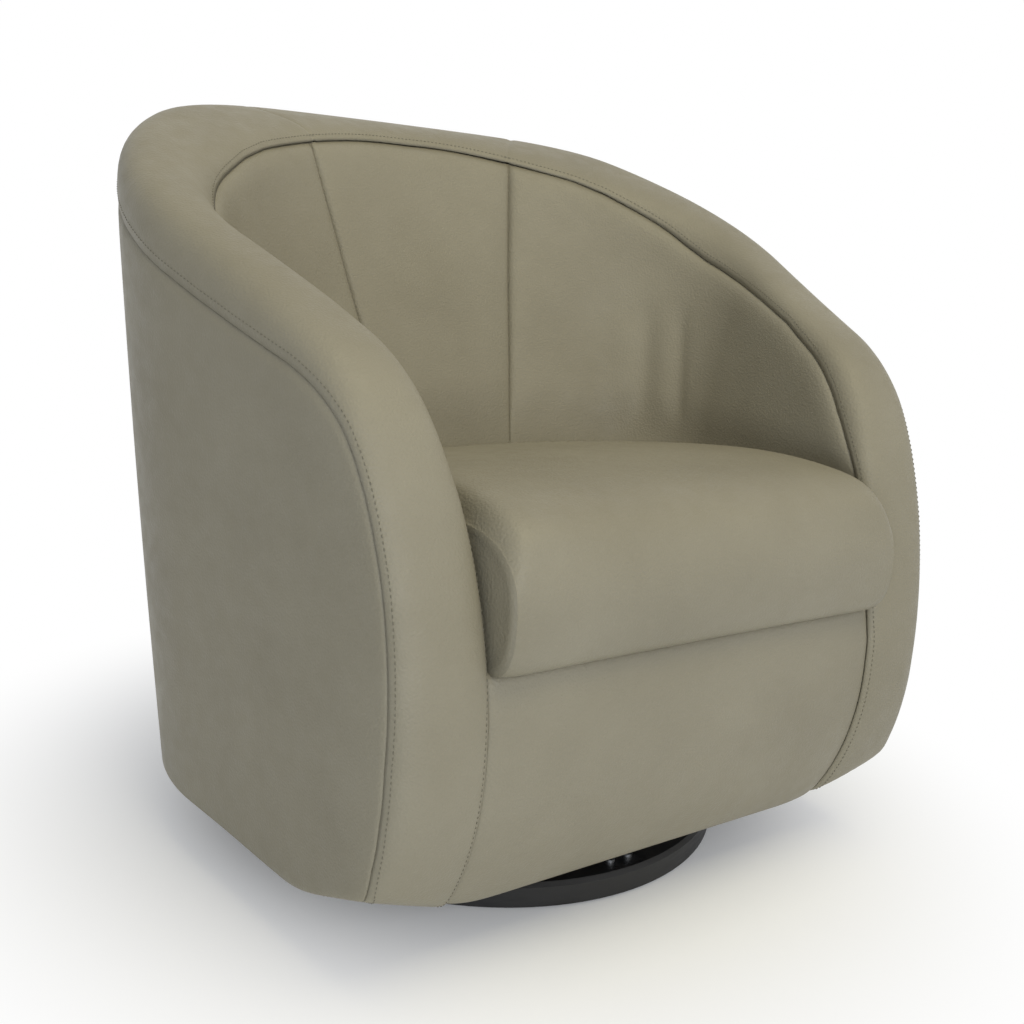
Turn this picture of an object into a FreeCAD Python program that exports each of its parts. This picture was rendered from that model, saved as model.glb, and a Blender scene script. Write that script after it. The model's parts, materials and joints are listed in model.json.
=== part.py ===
import FreeCAD, Part
import Sketcher
import math
import os

Vector = FreeCAD.Vector
doc = FreeCAD.newDocument("swivel_tub_chair")
sheet = doc.addObject("Spreadsheet::Sheet", "Sizes")

# Driving dimensions in millimetres, angles in degrees
SIZES = [
    # Tub, outside
    ("body_height", 762, "top of the rim above the floor"),
    ("floor_gap", 58, "underside of the tub above the floor"),
    ("rim_half_width", 414, "outside half width at the top"),
    ("rim_back_reach", 359, "outside of the back behind the swivel axis, at the top"),
    ("rim_back_radius", 545, "plan radius of the back, at the top"),
    ("rim_corner_radius", 265, "plan radius of the rear corners, at the top"),
    ("rim_front_half_width", 337, "outside half width of the arm fronts, at the top"),
    ("foot_half_width", 366, "outside half width at the underside"),
    ("foot_back_reach", 285, "outside of the back at the underside"),
    ("foot_back_radius", 480, "plan radius of the back at the underside"),
    ("foot_corner_radius", 235, "plan radius of the rear corners at the underside"),
    ("foot_front_half_width", 334, "outside half width of the arm fronts at the underside"),
    ("foot_round", 26, "rounding where the outside cover turns under"),
    ("corner_lift_height", 50, "how far the underside rises at the lower front corners"),
    ("corner_lift_side", 104, "length of that rise along each side"),
    ("corner_lift_front", 124, "length of that rise along the front"),
    ("cover_thickness", 4, "outside cover with its lining"),
    ("cover_seam", 250, "half width of the outside back panel"),
    ("cover_turn_under", 46, "flange of the outside cover under the frame"),
    # Tub, inside
    ("deck_height", 288, "top of the seat deck above the floor"),
    ("mouth_half_width", 336, "inside half width at the top"),
    ("mouth_back_reach", 263, "inside of the back at the top"),
    ("mouth_back_radius", 430, "plan radius of the inside back at the top"),
    ("mouth_corner_radius", 165, "plan radius of the inside corners at the top"),
    ("deck_half_width", 236, "inside half width at the deck"),
    ("deck_back_reach", 96, "inside of the back at the deck"),
    ("deck_back_radius", 620, "plan radius of the inside back at the deck"),
    ("deck_corner_radius", 100, "plan radius of the inside corners at the deck"),
    ("seat_half_width", 243, "inside half width between the arm fronts"),
    ("gauge_front", 300, "distance in front of the axis where the front widths are taken"),
    ("pad_thickness", 45, "foam and cover of the inside lining"),
    ("back_seam_low", 82, "half width of the inside back panel at the deck"),
    ("back_seam_high", 150, "half width of the inside back panel at the top"),
    # Rim seen from the side
    ("arm_reach", 340, "front of the arms in front of the axis"),
    ("arm_bulge_height", 215, "height of the foremost point of the arms"),
    ("arm_lower_radius", 271, "side profile below the foremost point"),
    ("arm_upper_radius", 549, "side profile above the foremost point"),
    ("arm_shoulder_radius", 180, "side profile where the front turns into the arm top"),
    ("arm_slope", 23, "slope of the arm top"),
    ("arm_height", 640, "height of the arm top over the axis"),
    ("crest_radius", 250, "side profile where the arm top levels out at the back"),
    ("band_thickness", 40, "padded rim band"),
    ("band_round", 30, "rounding of both edges of the rim band"),
    # Seat cushion
    ("cushion_reach", 355, "front of the cushion in front of the axis"),
    ("cushion_front_height", 442, "crown of the cushion near its front"),
    ("cushion_back_height", 402, "crown of the cushion at its back"),
    ("cushion_edge_drop", 30, "how much lower the cushion edge is than its crown"),
    ("cushion_gap", 3, "gap between the cushion and the lining"),
    ("cushion_skin", 3, "cushion cover"),
    ("cushion_seat_gap", 0.3, "cushion above the deck"),
    ("cushion_nose", 85, "depth of the cushion's rounded front"),
    ("cushion_nose_height", 52, "foremost line of the cushion above its underside"),
    ("cushion_tuck", 22, "how far the cushion's lower front edge is drawn in"),
    ("cushion_swell", 8, "bow of the cushion's top from front to back"),
    # Wooden frame
    ("frame_board", 20, "thickness of the bottom frame and the cross rails"),
    ("frame_opening_half_width", 200, "opening of the bottom frame"),
    ("frame_opening_front", 188, "opening of the bottom frame in front of the axis"),
    ("frame_opening_back", 150, "opening of the bottom frame behind the axis"),
    ("frame_front_reach", 256, "front of the front board in front of the axis"),
    ("front_board_thickness", 22, "front board and seat rails"),
    ("seat_rail_depth", 46, "height of the side and rear seat rails"),
    ("seat_box_reach", 80, "back of the rear seat rail behind the axis"),
    ("seat_box_half_width", 236, "outside half width of the seat rails"),
    ("deck_thickness", 14, "deck pad"),
    ("rib_thickness", 18, "plywood ribs"),
    ("rib_angle", 27, "angle between neighbouring ribs"),
    ("top_rail_low", 440, "lower ends of the bent top rail"),
    ("top_rail_thickness", 22, "bent top rail under the rim band"),
    ("arm_post_depth", 36, "front to back size of the arm posts"),
    ("cross_rail_width", 60, "cross rails under the seat"),
    ("cross_rail_offset", 92, "cross rail centre lines from the axis"),
    ("swivel_board_side", 260, "side of the square swivel board"),
    ("swivel_board_hole", 22, "radius of the hole in the middle of the swivel board"),
    ("dust_cover_thickness", 1.2, "dust cover"),
    ("dust_cover_margin", 30, "dust cover edge inside the outside cover"),
    # Seat springs and webbing
    ("spring_wire", 3.8, "seat spring wire diameter"),
    ("spring_width", 52, "width of a seat spring"),
    ("spring_spacing", 96, "distance between seat springs"),
    ("spring_clip_thickness", 1.5, "seat spring clips"),
    ("spring_clip_width", 11, "seat spring clips"),
    ("strap_thickness", 1.5, "elastic webbing"),
    ("strap_width", 50, "elastic webbing"),
    ("strap_first_height", 372, "underside of the lowest strap"),
    ("strap_pitch", 95, "distance between straps"),
    # Swivel base
    ("ring_radius", 270, "outside of the base ring"),
    ("ring_width", 45, "radial width of the base ring"),
    ("ring_height", 25, "height of the base ring"),
    ("ring_round", 4, "rounding of the ring's upper outer edge"),
    ("glide_height", 3, "nail glides under the ring"),
    ("glide_radius", 11, "nail glides under the ring"),
    ("spider_thickness", 4, "steel cross let into the ring"),
    ("spider_arm_width", 40, "steel cross"),
    ("spider_hub_radius", 100, "steel cross"),
    ("spider_hub_hole", 16, "radius of the hole for the king bolt head"),
    ("spider_margin", 8, "end of a spider arm inside the ring's outer face"),
    ("notch_clearance", 0.5, "spider arm in its notch"),
    ("spider_screw_radius", 2.5, "spider screw shank"),
    ("spider_screw_head", 5, "spider screw head radius"),
    ("spider_screw_length", 16, "spider screw below its head"),
    ("spider_screw_head_height", 3, "spider screw head"),
    ("spider_screw_offset", 12, "spider screws from the middle of an arm"),
    ("race_radius", 75, "pitch radius of the ball race"),
    ("ball_radius", 4, "bearing balls"),
    ("groove_depth", 1.5, "ball groove in each race plate"),
    ("ball_clearance", 0.1, "ball to groove"),
    ("plate_thickness", 3, "race plates"),
    ("lower_plate_radius", 95, "lower race plate"),
    ("upper_plate_side", 220, "upper race plate"),
    ("cage_width", 13, "radial width of the ball cage"),
    ("cage_thickness", 2.4, "ball cage"),
    ("cage_pocket_clearance", 0.25, "ball in its cage pocket"),
    ("king_radius", 6, "king bolt"),
    ("king_head_radius", 13, "king bolt head"),
    ("king_length", 20, "king bolt above the upper race plate"),
    ("king_clearance", 0.05, "king bolt in the upper race plate"),
    ("king_washer_radius", 15, "thrust washer"),
    ("king_washer_thickness", 2, "thrust washer"),
    ("king_nut_radius", 11, "lock nut across corners, half"),
    ("king_nut_height", 10, "lock nut"),
    ("hub_bolt_circle", 87, "bolts of the lower race plate"),
    ("hub_bolt_radius", 2.5, "bolts of the lower race plate"),
    ("hub_bolt_head_radius", 4.4, "bolts of the lower race plate"),
    ("hub_bolt_head_height", 2.8, "bolts of the lower race plate"),
    ("hub_nut_radius", 4.6, "nuts of the lower race plate"),
    ("hub_nut_height", 4, "nuts of the lower race plate"),
    ("plate_bolt_offset", 92, "plate bolts from the axis, along X and along Y"),
    ("plate_bolt_radius", 4, "plate bolts"),
    ("plate_bolt_head_radius", 7.5, "plate bolts"),
    ("plate_bolt_head_height", 5, "plate bolts"),
    ("tee_nut_flange_radius", 11, "tee nuts"),
    ("tee_nut_barrel_radius", 5, "tee nuts"),
    ("tee_nut_flange_thickness", 1.6, "tee nuts"),
    ("tee_nut_barrel_length", 12, "tee nuts"),
]

GLIDE_COUNT = 6
SPIDER_ARMS = 4
BALL_COUNT = 18
HUB_BOLTS = 4
RIB_COUNT = 9
SPRING_COUNT = 4
SPRING_RUNS = 9
WIRE_SIDES = 6
STRAP_COUNT = 3

for row, (alias, value, note) in enumerate(SIZES, 1):
    sheet.set("A%d" % row, note)
    sheet.set("B%d" % row, str(value))
    sheet.setAlias("B%d" % row, alias)
doc.recompute()


def size(alias):
    return float(sheet.get(alias))


# Sizes worked out from the driving dimensions, added to the sheet as formulas
DERIVED = [
    ("ring_top", "=glide_height + ring_height"),
    ("ring_inner", "=ring_radius - ring_width"),
    ("spider_under", "=ring_top - spider_thickness"),
    ("lower_plate_top", "=ring_top + plate_thickness"),
    ("ball_centre", "=lower_plate_top - groove_depth + ball_clearance + ball_radius"),
    ("upper_plate_under", "=ball_centre + ball_radius + ball_clearance - groove_depth"),
    ("upper_plate_top", "=upper_plate_under + plate_thickness"),
    ("frame_under", "=floor_gap + cover_thickness"),
    ("frame_top", "=frame_under + frame_board"),
    ("swivel_board_thickness", "=frame_under - upper_plate_top"),
    ("groove_radius", "=ball_radius + ball_clearance"),
    ("rail_top", "=deck_height - deck_thickness - spring_wire - 2 * spring_clip_thickness"),
    ("post_inner", "=seat_half_width + pad_thickness"),
    ("ring_middle", "=ring_radius - ring_width / 2"),
]
for row, (alias, formula) in enumerate(DERIVED, len(SIZES) + 2):
    sheet.set("B%d" % row, formula)
    sheet.setAlias("B%d" % row, alias)
    doc.recompute()


def finish(thing, label):
    thing.Label = label
    return thing


def bind(thing, **formulas):
    for key, formula in formulas.items():
        thing.setExpression(key.replace("_dot_", "."), formula)
    return thing


def place(thing, x="0", y="0", z="0"):
    for axis, formula in (("x", x), ("y", y), ("z", z)):
        thing.setExpression("Placement.Base." + axis, formula)
    return thing


def box(name, length, width, height, x, y, z):
    solid = doc.addObject("Part::Box", name)
    bind(solid, Length=length, Width=width, Height=height)
    return place(solid, x, y, z)


def cylinder(name, radius, height, x="0", y="0", z="0"):
    solid = doc.addObject("Part::Cylinder", name)
    bind(solid, Radius=radius, Height=height)
    return place(solid, x, y, z)


def hexagon(name, radius, height, x="0", y="0", z="0"):
    solid = doc.addObject("Part::Prism", name)
    solid.Polygon = 6
    bind(solid, Circumradius=radius, Height=height)
    return place(solid, x, y, z)


def fuse(name, shapes):
    joined = doc.addObject("Part::MultiFuse", name)
    joined.Shapes = shapes
    return joined


def cut(name, base, tool):
    remainder = doc.addObject("Part::Cut", name)
    remainder.Base = base
    remainder.Tool = tool
    return remainder


def group(name, shapes):
    together = doc.addObject("Part::Compound", name)
    together.Links = shapes
    return together


def solid_feature(name, shape):
    """A sub-part that only lofts and cuts can make, its shape set from the sheet's sizes."""
    feature = doc.addObject("Part::Feature", name)
    feature.Shape = shape.removeSplitter()
    return feature


def origin_plane(body, role):
    return next(item for item in body.Origin.OriginFeatures if item.Role == role)


def revolved_body(name, corners):
    """A PartDesign body turned about Z from a half section, each corner bound to two sheet formulas."""
    body = doc.addObject("PartDesign::Body", name)
    sketch = body.newObject("Sketcher::SketchObject", name + "_section")
    sketch.AttachmentSupport = [(origin_plane(body, "XZ_Plane"), "")]
    sketch.MapMode = "FlatFace"
    doc.recompute()
    values = [(evaluate(radius), evaluate(height)) for radius, height in corners]
    last = len(corners) - 1
    for index, (radius, height) in enumerate(values):
        follow = values[0 if index == last else index + 1]
        start = Vector(radius, height, 0)
        end = Vector(follow[0], follow[1], 0)
        sketch.addGeometry(Part.LineSegment(start, end), False)
    for index in range(len(corners)):
        sketch.addConstraint(Sketcher.Constraint("Coincident", index, 2, 0 if index == last else index + 1, 1))
    for index, (radius, height) in enumerate(corners):
        pairs = [("DistanceX", radius, values[index][0]), ("DistanceY", height, values[index][1])]
        if radius == "0":
            sketch.addConstraint(Sketcher.Constraint("PointOnObject", index, 1, -2))
            pairs = pairs[1:]
        for kind, formula, value in pairs:
            label = "corner_%d_%s" % (index, kind[-1].lower())
            number = sketch.addConstraint(Sketcher.Constraint(kind, -1, 1, index, 1, value))
            sketch.renameConstraint(number, label)
            sketch.setExpression("Constraints." + label, formula)
    turn = body.newObject("PartDesign::Revolution", name + "_turn")
    turn.Profile = sketch
    turn.ReferenceAxis = (sketch, ["V_Axis"])
    turn.Angle = 360
    body.Tip = turn
    doc.recompute()
    return body


def evaluate(formula):
    """The value of a sheet formula, for a sketch's first drawing."""
    sheet.set("D1", "=" + formula.replace("Sizes.", ""))
    sheet.recompute()
    return float(sheet.get("D1"))


# Master surfaces of the tub

def blend(low, high, share):
    return low + (high - low) * share


def plan_wire(height, half_width, back_reach, back_radius, corner_radius, front_half_width):
    """Horseshoe plan: straight arms, two rear corner arcs and a back arc, all tangent."""
    gauge = -size("gauge_front")
    mouth = -size("arm_reach") - size("gauge_front")
    back_centre = Vector(0, back_reach - back_radius, height)
    offset = half_width - corner_radius
    rise = math.sqrt((back_radius - corner_radius) ** 2 - offset ** 2)
    corner_centre = Vector(offset, back_centre.y + rise, height)
    front = Vector(front_half_width, gauge, height)
    sight = corner_centre - front
    bearing = math.atan2(sight.y, sight.x) - math.asin(corner_radius / sight.Length)
    reach = math.sqrt(sight.Length ** 2 - corner_radius ** 2)
    along = Vector(math.cos(bearing), math.sin(bearing), 0)
    tangent = front + along * reach
    nose = front + along * ((mouth - gauge) / along.y)
    junction = back_centre + (corner_centre - back_centre).normalize() * back_radius
    first = math.atan2(tangent.y - corner_centre.y, tangent.x - corner_centre.x)
    second = math.atan2(junction.y - corner_centre.y, junction.x - corner_centre.x)
    middle = (first + second) / 2
    bend = corner_centre + Vector(math.cos(middle), math.sin(middle), 0) * corner_radius

    def mirrored(point):
        return Vector(-point.x, point.y, point.z)

    edges = [
        Part.LineSegment(mirrored(nose), nose).toShape(),
        Part.LineSegment(nose, tangent).toShape(),
        Part.Arc(tangent, bend, junction).toShape(),
        Part.Arc(junction, Vector(0, back_reach, height), mirrored(junction)).toShape(),
        Part.Arc(mirrored(junction), mirrored(bend), mirrored(tangent)).toShape(),
        Part.LineSegment(mirrored(tangent), mirrored(nose)).toShape(),
    ]
    return Part.Wire(edges)


def outside_wire(height, inset):
    share = (height - size("floor_gap")) / (size("body_height") - size("floor_gap"))
    return plan_wire(
        height,
        blend(size("foot_half_width"), size("rim_half_width"), share) - inset,
        blend(size("foot_back_reach"), size("rim_back_reach"), share) - inset,
        blend(size("foot_back_radius"), size("rim_back_radius"), share) - inset,
        blend(size("foot_corner_radius"), size("rim_corner_radius"), share) - inset,
        blend(size("foot_front_half_width"), size("rim_front_half_width"), share) - inset,
    )


def inside_wire(height, grow):
    share = (height - size("deck_height")) / (size("body_height") - size("deck_height"))
    return plan_wire(
        height,
        blend(size("deck_half_width"), size("mouth_half_width"), share) + grow,
        blend(size("deck_back_reach"), size("mouth_back_reach"), share) + grow,
        blend(size("deck_back_radius"), size("mouth_back_radius"), share) + grow,
        blend(size("deck_corner_radius"), size("mouth_corner_radius"), share) + grow,
        size("seat_half_width") + grow,
    )


def outside_solid(inset, low, high):
    return Part.makeLoft([outside_wire(low, inset), outside_wire(high, inset)], True, True)


def inside_solid(grow, low, high):
    return Part.makeLoft([inside_wire(low, grow), inside_wire(high, grow)], True, True)


def side_profile(inset):
    """Everything under the rim seen from the side, pushed in by inset and extruded across the chair."""
    top = size("body_height")
    slope = math.radians(size("arm_slope"))
    bulge = size("arm_bulge_height")
    base = size("floor_gap") - 2 * size("cover_thickness")
    half_span = 2 * size("rim_half_width")
    lower_radius = size("arm_lower_radius")
    upper_radius = size("arm_upper_radius")
    shoulder_radius = size("arm_shoulder_radius")
    crest_radius = size("crest_radius")
    lower_centre = Vector(0, lower_radius - size("arm_reach"), bulge)
    upper_centre = Vector(0, upper_radius - size("arm_reach"), bulge)
    uphill = Vector(0, math.cos(slope), math.sin(slope))
    outward = Vector(0, -math.sin(slope), math.cos(slope))
    arm_point = Vector(0, 0, size("arm_height"))

    # The shoulder arc touches the arm line and the upper front arc
    foot = arm_point - outward * shoulder_radius
    gap = foot - upper_centre
    half_b = gap.dot(uphill)
    rest = gap.dot(gap) - (upper_radius - shoulder_radius) ** 2
    shoulder_centre = foot + uphill * (-half_b - math.sqrt(half_b ** 2 - rest))

    # The crest arc touches the arm line and the level top
    crest_foot = arm_point - outward * crest_radius
    crest_centre = crest_foot + uphill * ((top - crest_radius - crest_foot.z) / uphill.z)

    def on_arc(centre, radius, direction):
        return centre + direction.normalize() * (radius - inset)

    drop = bulge - base
    start = lower_centre + Vector(0, -math.sqrt((lower_radius - inset) ** 2 - drop ** 2), -drop)
    nose = Vector(0, inset - size("arm_reach"), bulge)
    shoulder_low = on_arc(shoulder_centre, shoulder_radius, shoulder_centre - upper_centre)
    shoulder_high = on_arc(shoulder_centre, shoulder_radius, Vector(outward))
    crest_low = on_arc(crest_centre, crest_radius, Vector(outward))
    crest_high = crest_centre + Vector(0, 0, crest_radius - inset)
    rear = Vector(0, size("rim_back_reach") + size("rim_corner_radius"), top - inset)
    rear_low = Vector(0, rear.y, base)

    def between(centre, radius, one, other):
        return on_arc(centre, radius, (one - centre).normalize() + (other - centre).normalize())

    edges = [
        Part.Arc(start, between(lower_centre, lower_radius, start, nose), nose).toShape(),
        Part.Arc(nose, between(upper_centre, upper_radius, nose, shoulder_low), shoulder_low).toShape(),
        Part.Arc(shoulder_low, between(shoulder_centre, shoulder_radius, shoulder_low, shoulder_high),
                 shoulder_high).toShape(),
        Part.LineSegment(shoulder_high, crest_low).toShape(),
        Part.Arc(crest_low, between(crest_centre, crest_radius, crest_low, crest_high), crest_high).toShape(),
        Part.LineSegment(crest_high, rear).toShape(),
        Part.LineSegment(rear, rear_low).toShape(),
        Part.LineSegment(rear_low, start).toShape(),
    ]
    face = Part.Face(Part.Wire(edges))
    face.translate(Vector(-half_span, 0, 0))
    return face.extrude(Vector(2 * half_span, 0, 0))


def block(x_low, x_high, y_low, y_high, z_low, z_high):
    return Part.makeBox(x_high - x_low, y_high - y_low, z_high - z_low, Vector(x_low, y_low, z_low))


FAR = 2 * size("rim_half_width")
FLOOR_GAP = size("floor_gap")
TOP = size("body_height")
DECK = size("deck_height")
HEADROOM = TOP + size("band_thickness")
# How edges are told apart: a place near an edge's middle, a rise that still counts as level, a shortest length in mm
# and a distance in mm at which two shapes touch
NEAR_MIDDLE = 0.47
LEVEL_RISE = 0.2
SHORTEST_EDGE = 1
TOUCHING = 0.01

outside = outside_solid(0, FLOOR_GAP, TOP)
outside_lining = outside_solid(size("cover_thickness"), FLOOR_GAP, TOP)
mouth = inside_solid(0, DECK, HEADROOM)
lining_back = inside_solid(size("pad_thickness"), DECK, HEADROOM)
rim = side_profile(0)
under_band = side_profile(size("band_thickness"))
under_rail = side_profile(size("band_thickness") + size("top_rail_thickness"))
strap_back = inside_solid(size("pad_thickness") + size("strap_thickness"), DECK, HEADROOM)
seat_slot = block(-size("seat_half_width"), size("seat_half_width"), -FAR, 0, 0, DECK)
seat_box = block(-size("seat_box_half_width"), size("seat_box_half_width"), -FAR, size("seat_box_reach"), 0, DECK)


def split_three(shape, seam_low, seam_high):
    """Left, middle and right lengths of a horseshoe piece, parted at seam planes that lean apart upwards."""
    lean = (seam_high - seam_low) / (TOP - DECK)
    foot = seam_low - lean * DECK
    head = seam_low + lean * (HEADROOM - DECK)
    zones = ((-FAR, -FAR, -head, -foot), (-foot, -head, head, foot), (foot, head, FAR, FAR))
    lengths = []
    for low_left, high_left, high_right, low_right in zones:
        corners = [
            Vector(low_left, -FAR, 0), Vector(high_left, -FAR, HEADROOM),
            Vector(high_right, -FAR, HEADROOM), Vector(low_right, -FAR, 0),
        ]
        zone = Part.Face(Part.makePolygon(corners + corners[:1])).extrude(Vector(0, 2 * FAR, 0))
        lengths.append(shape.common(zone))
    return lengths


def rim_edges(shape):
    """Edges where the rim's surface meets the outside wall or the mouth."""
    found = []
    for edge in shape.Edges:
        middle = Part.Vertex(edge.valueAt(blend(edge.FirstParameter, edge.LastParameter, NEAR_MIDDLE)))
        bounds = edge.BoundBox
        level = bounds.ZLength < LEVEL_RISE and bounds.ZMax < DECK + SHORTEST_EDGE
        on_wall = min(middle.distToShape(wall.Shells[0])[0] for wall in (outside, mouth)) < TOUCHING
        if on_wall and not level and middle.distToShape(rim.Shells[0])[0] < TOUCHING:
            if bounds.YLength + bounds.ZLength > SHORTEST_EDGE:
                found.append(edge)
    return found


def rounded_foot(shape, level, radius):
    """A wall whose lower edge, at the given height, turns under everywhere but at the open front."""
    edges = []
    for edge in shape.Edges:
        ends = [vertex.Point for vertex in edge.Vertexes]
        behind_front = abs(ends[0].y - ends[-1].y) + ends[0].y > SHORTEST_EDGE - FAR / 2
        if behind_front and all(abs(end.z - level) < TOUCHING for end in ends):
            edges.append(edge)
    return shape.makeFillet(radius, edges)


def rounded_tub(walls):
    """The whole upholstered tub, with both edges of its rim rounded."""
    square = walls.common(rim).cut(mouth)
    return square.makeFillet(size("band_round"), rim_edges(square))


def corner_lifts(inset):
    """Blocks under the lower front corners, where the underside slopes up to the outer edge of each arm."""
    blocks = []
    for side in (-1, 1):
        corner = Vector(side * size("rim_front_half_width"), -size("gauge_front"), FLOOR_GAP)
        raised = corner + Vector(0, 0, size("corner_lift_height"))
        along_side = corner + Vector(0, size("corner_lift_side"), 0)
        along_front = corner - Vector(side * size("corner_lift_front"), 0, 0)
        slope = (along_side - raised).cross(along_front - raised)
        down = slope * (-1 if slope.z > 0 else 1)
        down.normalize()
        lift = Part.makeBox(FAR, FAR, FAR, Vector(-FAR / 2, -FAR / 2, 0))
        lift.Placement = FreeCAD.Placement(raised - down * inset, FreeCAD.Rotation(Vector(0, 0, 1), down))
        blocks.append(lift)
    return blocks[0].fuse(blocks[1])


rounded_outside = rounded_foot(outside, FLOOR_GAP, size("foot_round"))
tub = rounded_tub(rounded_outside).cut(corner_lifts(0))
rounded_outside = rounded_outside.cut(corner_lifts(0))
frame_space = rounded_foot(
    outside_lining.cut(block(-FAR, FAR, -FAR, FAR, 0, size("frame_under"))),
    size("frame_under"),
    size("foot_round") - size("cover_thickness"),
).cut(corner_lifts(size("cover_thickness")))


# Upholstery

def make_rim_band():
    band = tub.cut(under_band).cut(seat_slot)
    lengths = split_three(band, size("back_seam_low"), size("back_seam_high"))
    for name, shape in zip(("band_left", "band_back", "band_right"), lengths):
        solid_feature(name, shape)


def make_inside_pads():
    pads = lining_back.common(under_band).cut(mouth)
    panels = split_three(pads, size("back_seam_low"), size("back_seam_high"))
    for name, shape in zip(("inside_left", "inside_back", "inside_right"), panels):
        solid_feature(name, shape)


def make_front_panel():
    space = seat_slot.common(block(-FAR, FAR, -FAR, -size("frame_front_reach"), FLOOR_GAP, DECK))
    solid_feature("front_panel", tub.common(space))


def make_outside_covers():
    sheet_of_cover = rounded_outside.cut(frame_space).common(under_band)
    hole = Part.Face(outside_wire(FLOOR_GAP, size("cover_turn_under")))
    hole.translate(Vector(0, 0, -size("cover_thickness")))
    cover = sheet_of_cover.cut(hole.extrude(Vector(0, 0, 3 * size("cover_thickness"))))
    panels = split_three(cover, size("cover_seam"), size("cover_seam"))
    for name, shape in zip(("outside_left", "outside_back", "outside_right"), panels):
        solid_feature(name, shape)


def make_dust_cover():
    cloth = Part.Face(outside_wire(FLOOR_GAP, size("dust_cover_margin")))
    cloth = cloth.extrude(Vector(0, 0, -size("dust_cover_thickness")))
    half = size("swivel_board_side") / 2
    window = block(-half, half, -half, half, 0, TOP)
    behind = block(-FAR, FAR, -size("frame_front_reach"), FAR, 0, TOP)
    solid_feature("dust_cover", cloth.common(behind).cut(window).cut(corner_lifts(size("cover_thickness"))))


def cushion_section(across, inset):
    """Side view of the cushion at one distance across it, lower near its ends."""
    half = size("seat_half_width") + size("pad_thickness") / 2
    fall = size("cushion_edge_drop") * (across / half) ** 4
    under = DECK + size("cushion_seat_gap") + inset
    front_top = size("cushion_front_height") - fall - inset
    back_top = size("cushion_back_height") - fall / 2 - inset
    nose_y = inset - size("cushion_reach")
    brow_y = nose_y + size("cushion_nose")
    nose_z = under + size("cushion_nose_height")
    rear_y = size("mouth_back_reach")
    diagonal = math.sqrt(0.5)
    lower_rear = Vector(across, rear_y, under)
    upper_rear = Vector(across, rear_y, back_top)
    brow = Vector(across, brow_y, front_top)
    nose = Vector(across, nose_y, nose_z)
    chin = Vector(across, nose_y + size("cushion_tuck"), under)
    swell = (upper_rear + brow) / 2 + Vector(0, 0, size("cushion_swell"))
    cheek = Vector(across, brow_y - (brow_y - nose_y) * diagonal, nose_z + (front_top - nose_z) * diagonal)
    jaw = Vector(across, chin.y - size("cushion_tuck") * 0.8, under + size("cushion_nose_height") * 0.4)
    return Part.Wire([
        Part.LineSegment(lower_rear, upper_rear).toShape(),
        Part.Arc(upper_rear, swell, brow).toShape(),
        Part.Arc(brow, cheek, nose).toShape(),
        Part.Arc(nose, jaw, chin).toShape(),
        Part.LineSegment(chin, lower_rear).toShape(),
    ])


def cushion_solid(inset):
    half = size("seat_half_width") + size("pad_thickness") / 2
    stations = [-half, -0.8 * half, -0.4 * half, 0, 0.4 * half, 0.8 * half, half]
    crowned = Part.makeLoft([cushion_section(across, inset) for across in stations], True, False)
    return crowned.common(inside_solid(-size("cushion_gap") - inset, DECK, HEADROOM))


def make_seat_cushion():
    core = cushion_solid(size("cushion_skin"))
    solid_feature("cushion_cover", cushion_solid(0).cut(core))
    solid_feature("cushion_core", core)


# Wooden frame

def make_bottom_frame():
    plank = frame_space.common(under_band)
    slab = block(-FAR, FAR, -size("frame_front_reach"), FAR, size("frame_under"), size("frame_top"))
    half = size("frame_opening_half_width")
    opening = block(-half, half, -size("frame_opening_front"), size("frame_opening_back"), 0, TOP)
    solid_feature("bottom_frame", plank.common(slab).cut(opening))


def make_cross_rails():
    for name, side in (("cross_rail_front", -1), ("cross_rail_rear", 1)):
        rail = box(
            name + "_plank",
            "2 * Sizes.frame_opening_half_width", "Sizes.cross_rail_width", "Sizes.frame_board",
            "-Sizes.frame_opening_half_width",
            "%d * Sizes.cross_rail_offset - Sizes.cross_rail_width / 2" % side,
            "Sizes.frame_under",
        )
        holes = [
            cylinder(
                "%s_hole_%s" % (name, word),
                "Sizes.tee_nut_barrel_radius", "Sizes.frame_board",
                "%d * Sizes.plate_bolt_offset" % way, "%d * Sizes.plate_bolt_offset" % side, "Sizes.frame_under",
            )
            for word, way in (("left", -1), ("right", 1))
        ]
        finish(cut(name, rail, fuse(name + "_holes", holes)), name)


def make_seat_rails():
    rail_under = "Sizes.rail_top - Sizes.seat_rail_depth"
    board_back = "(Sizes.front_board_thickness - Sizes.frame_front_reach)"
    box(
        "front_board", "2 * Sizes.post_inner", "Sizes.front_board_thickness", "Sizes.rail_top - Sizes.frame_top",
        "-Sizes.post_inner", "-Sizes.frame_front_reach", "Sizes.frame_top",
    )
    for name, x in (
        ("side_rail_left", "-Sizes.seat_box_half_width"),
        ("side_rail_right", "Sizes.seat_box_half_width - Sizes.front_board_thickness"),
    ):
        box(
            name, "Sizes.front_board_thickness", "Sizes.seat_box_reach - " + board_back, "Sizes.seat_rail_depth",
            x, board_back, rail_under,
        )
    half = "(Sizes.seat_box_half_width - Sizes.front_board_thickness)"
    box(
        "rear_rail", "2 * " + half, "Sizes.front_board_thickness", "Sizes.seat_rail_depth",
        "-" + half, "Sizes.seat_box_reach - Sizes.front_board_thickness", rail_under,
    )


def make_top_rail():
    rail = outside_lining.common(under_band).cut(under_rail).cut(strap_back)
    return solid_feature("top_rail", rail.common(block(-FAR, FAR, -FAR, FAR, size("top_rail_low"), HEADROOM)))


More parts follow.
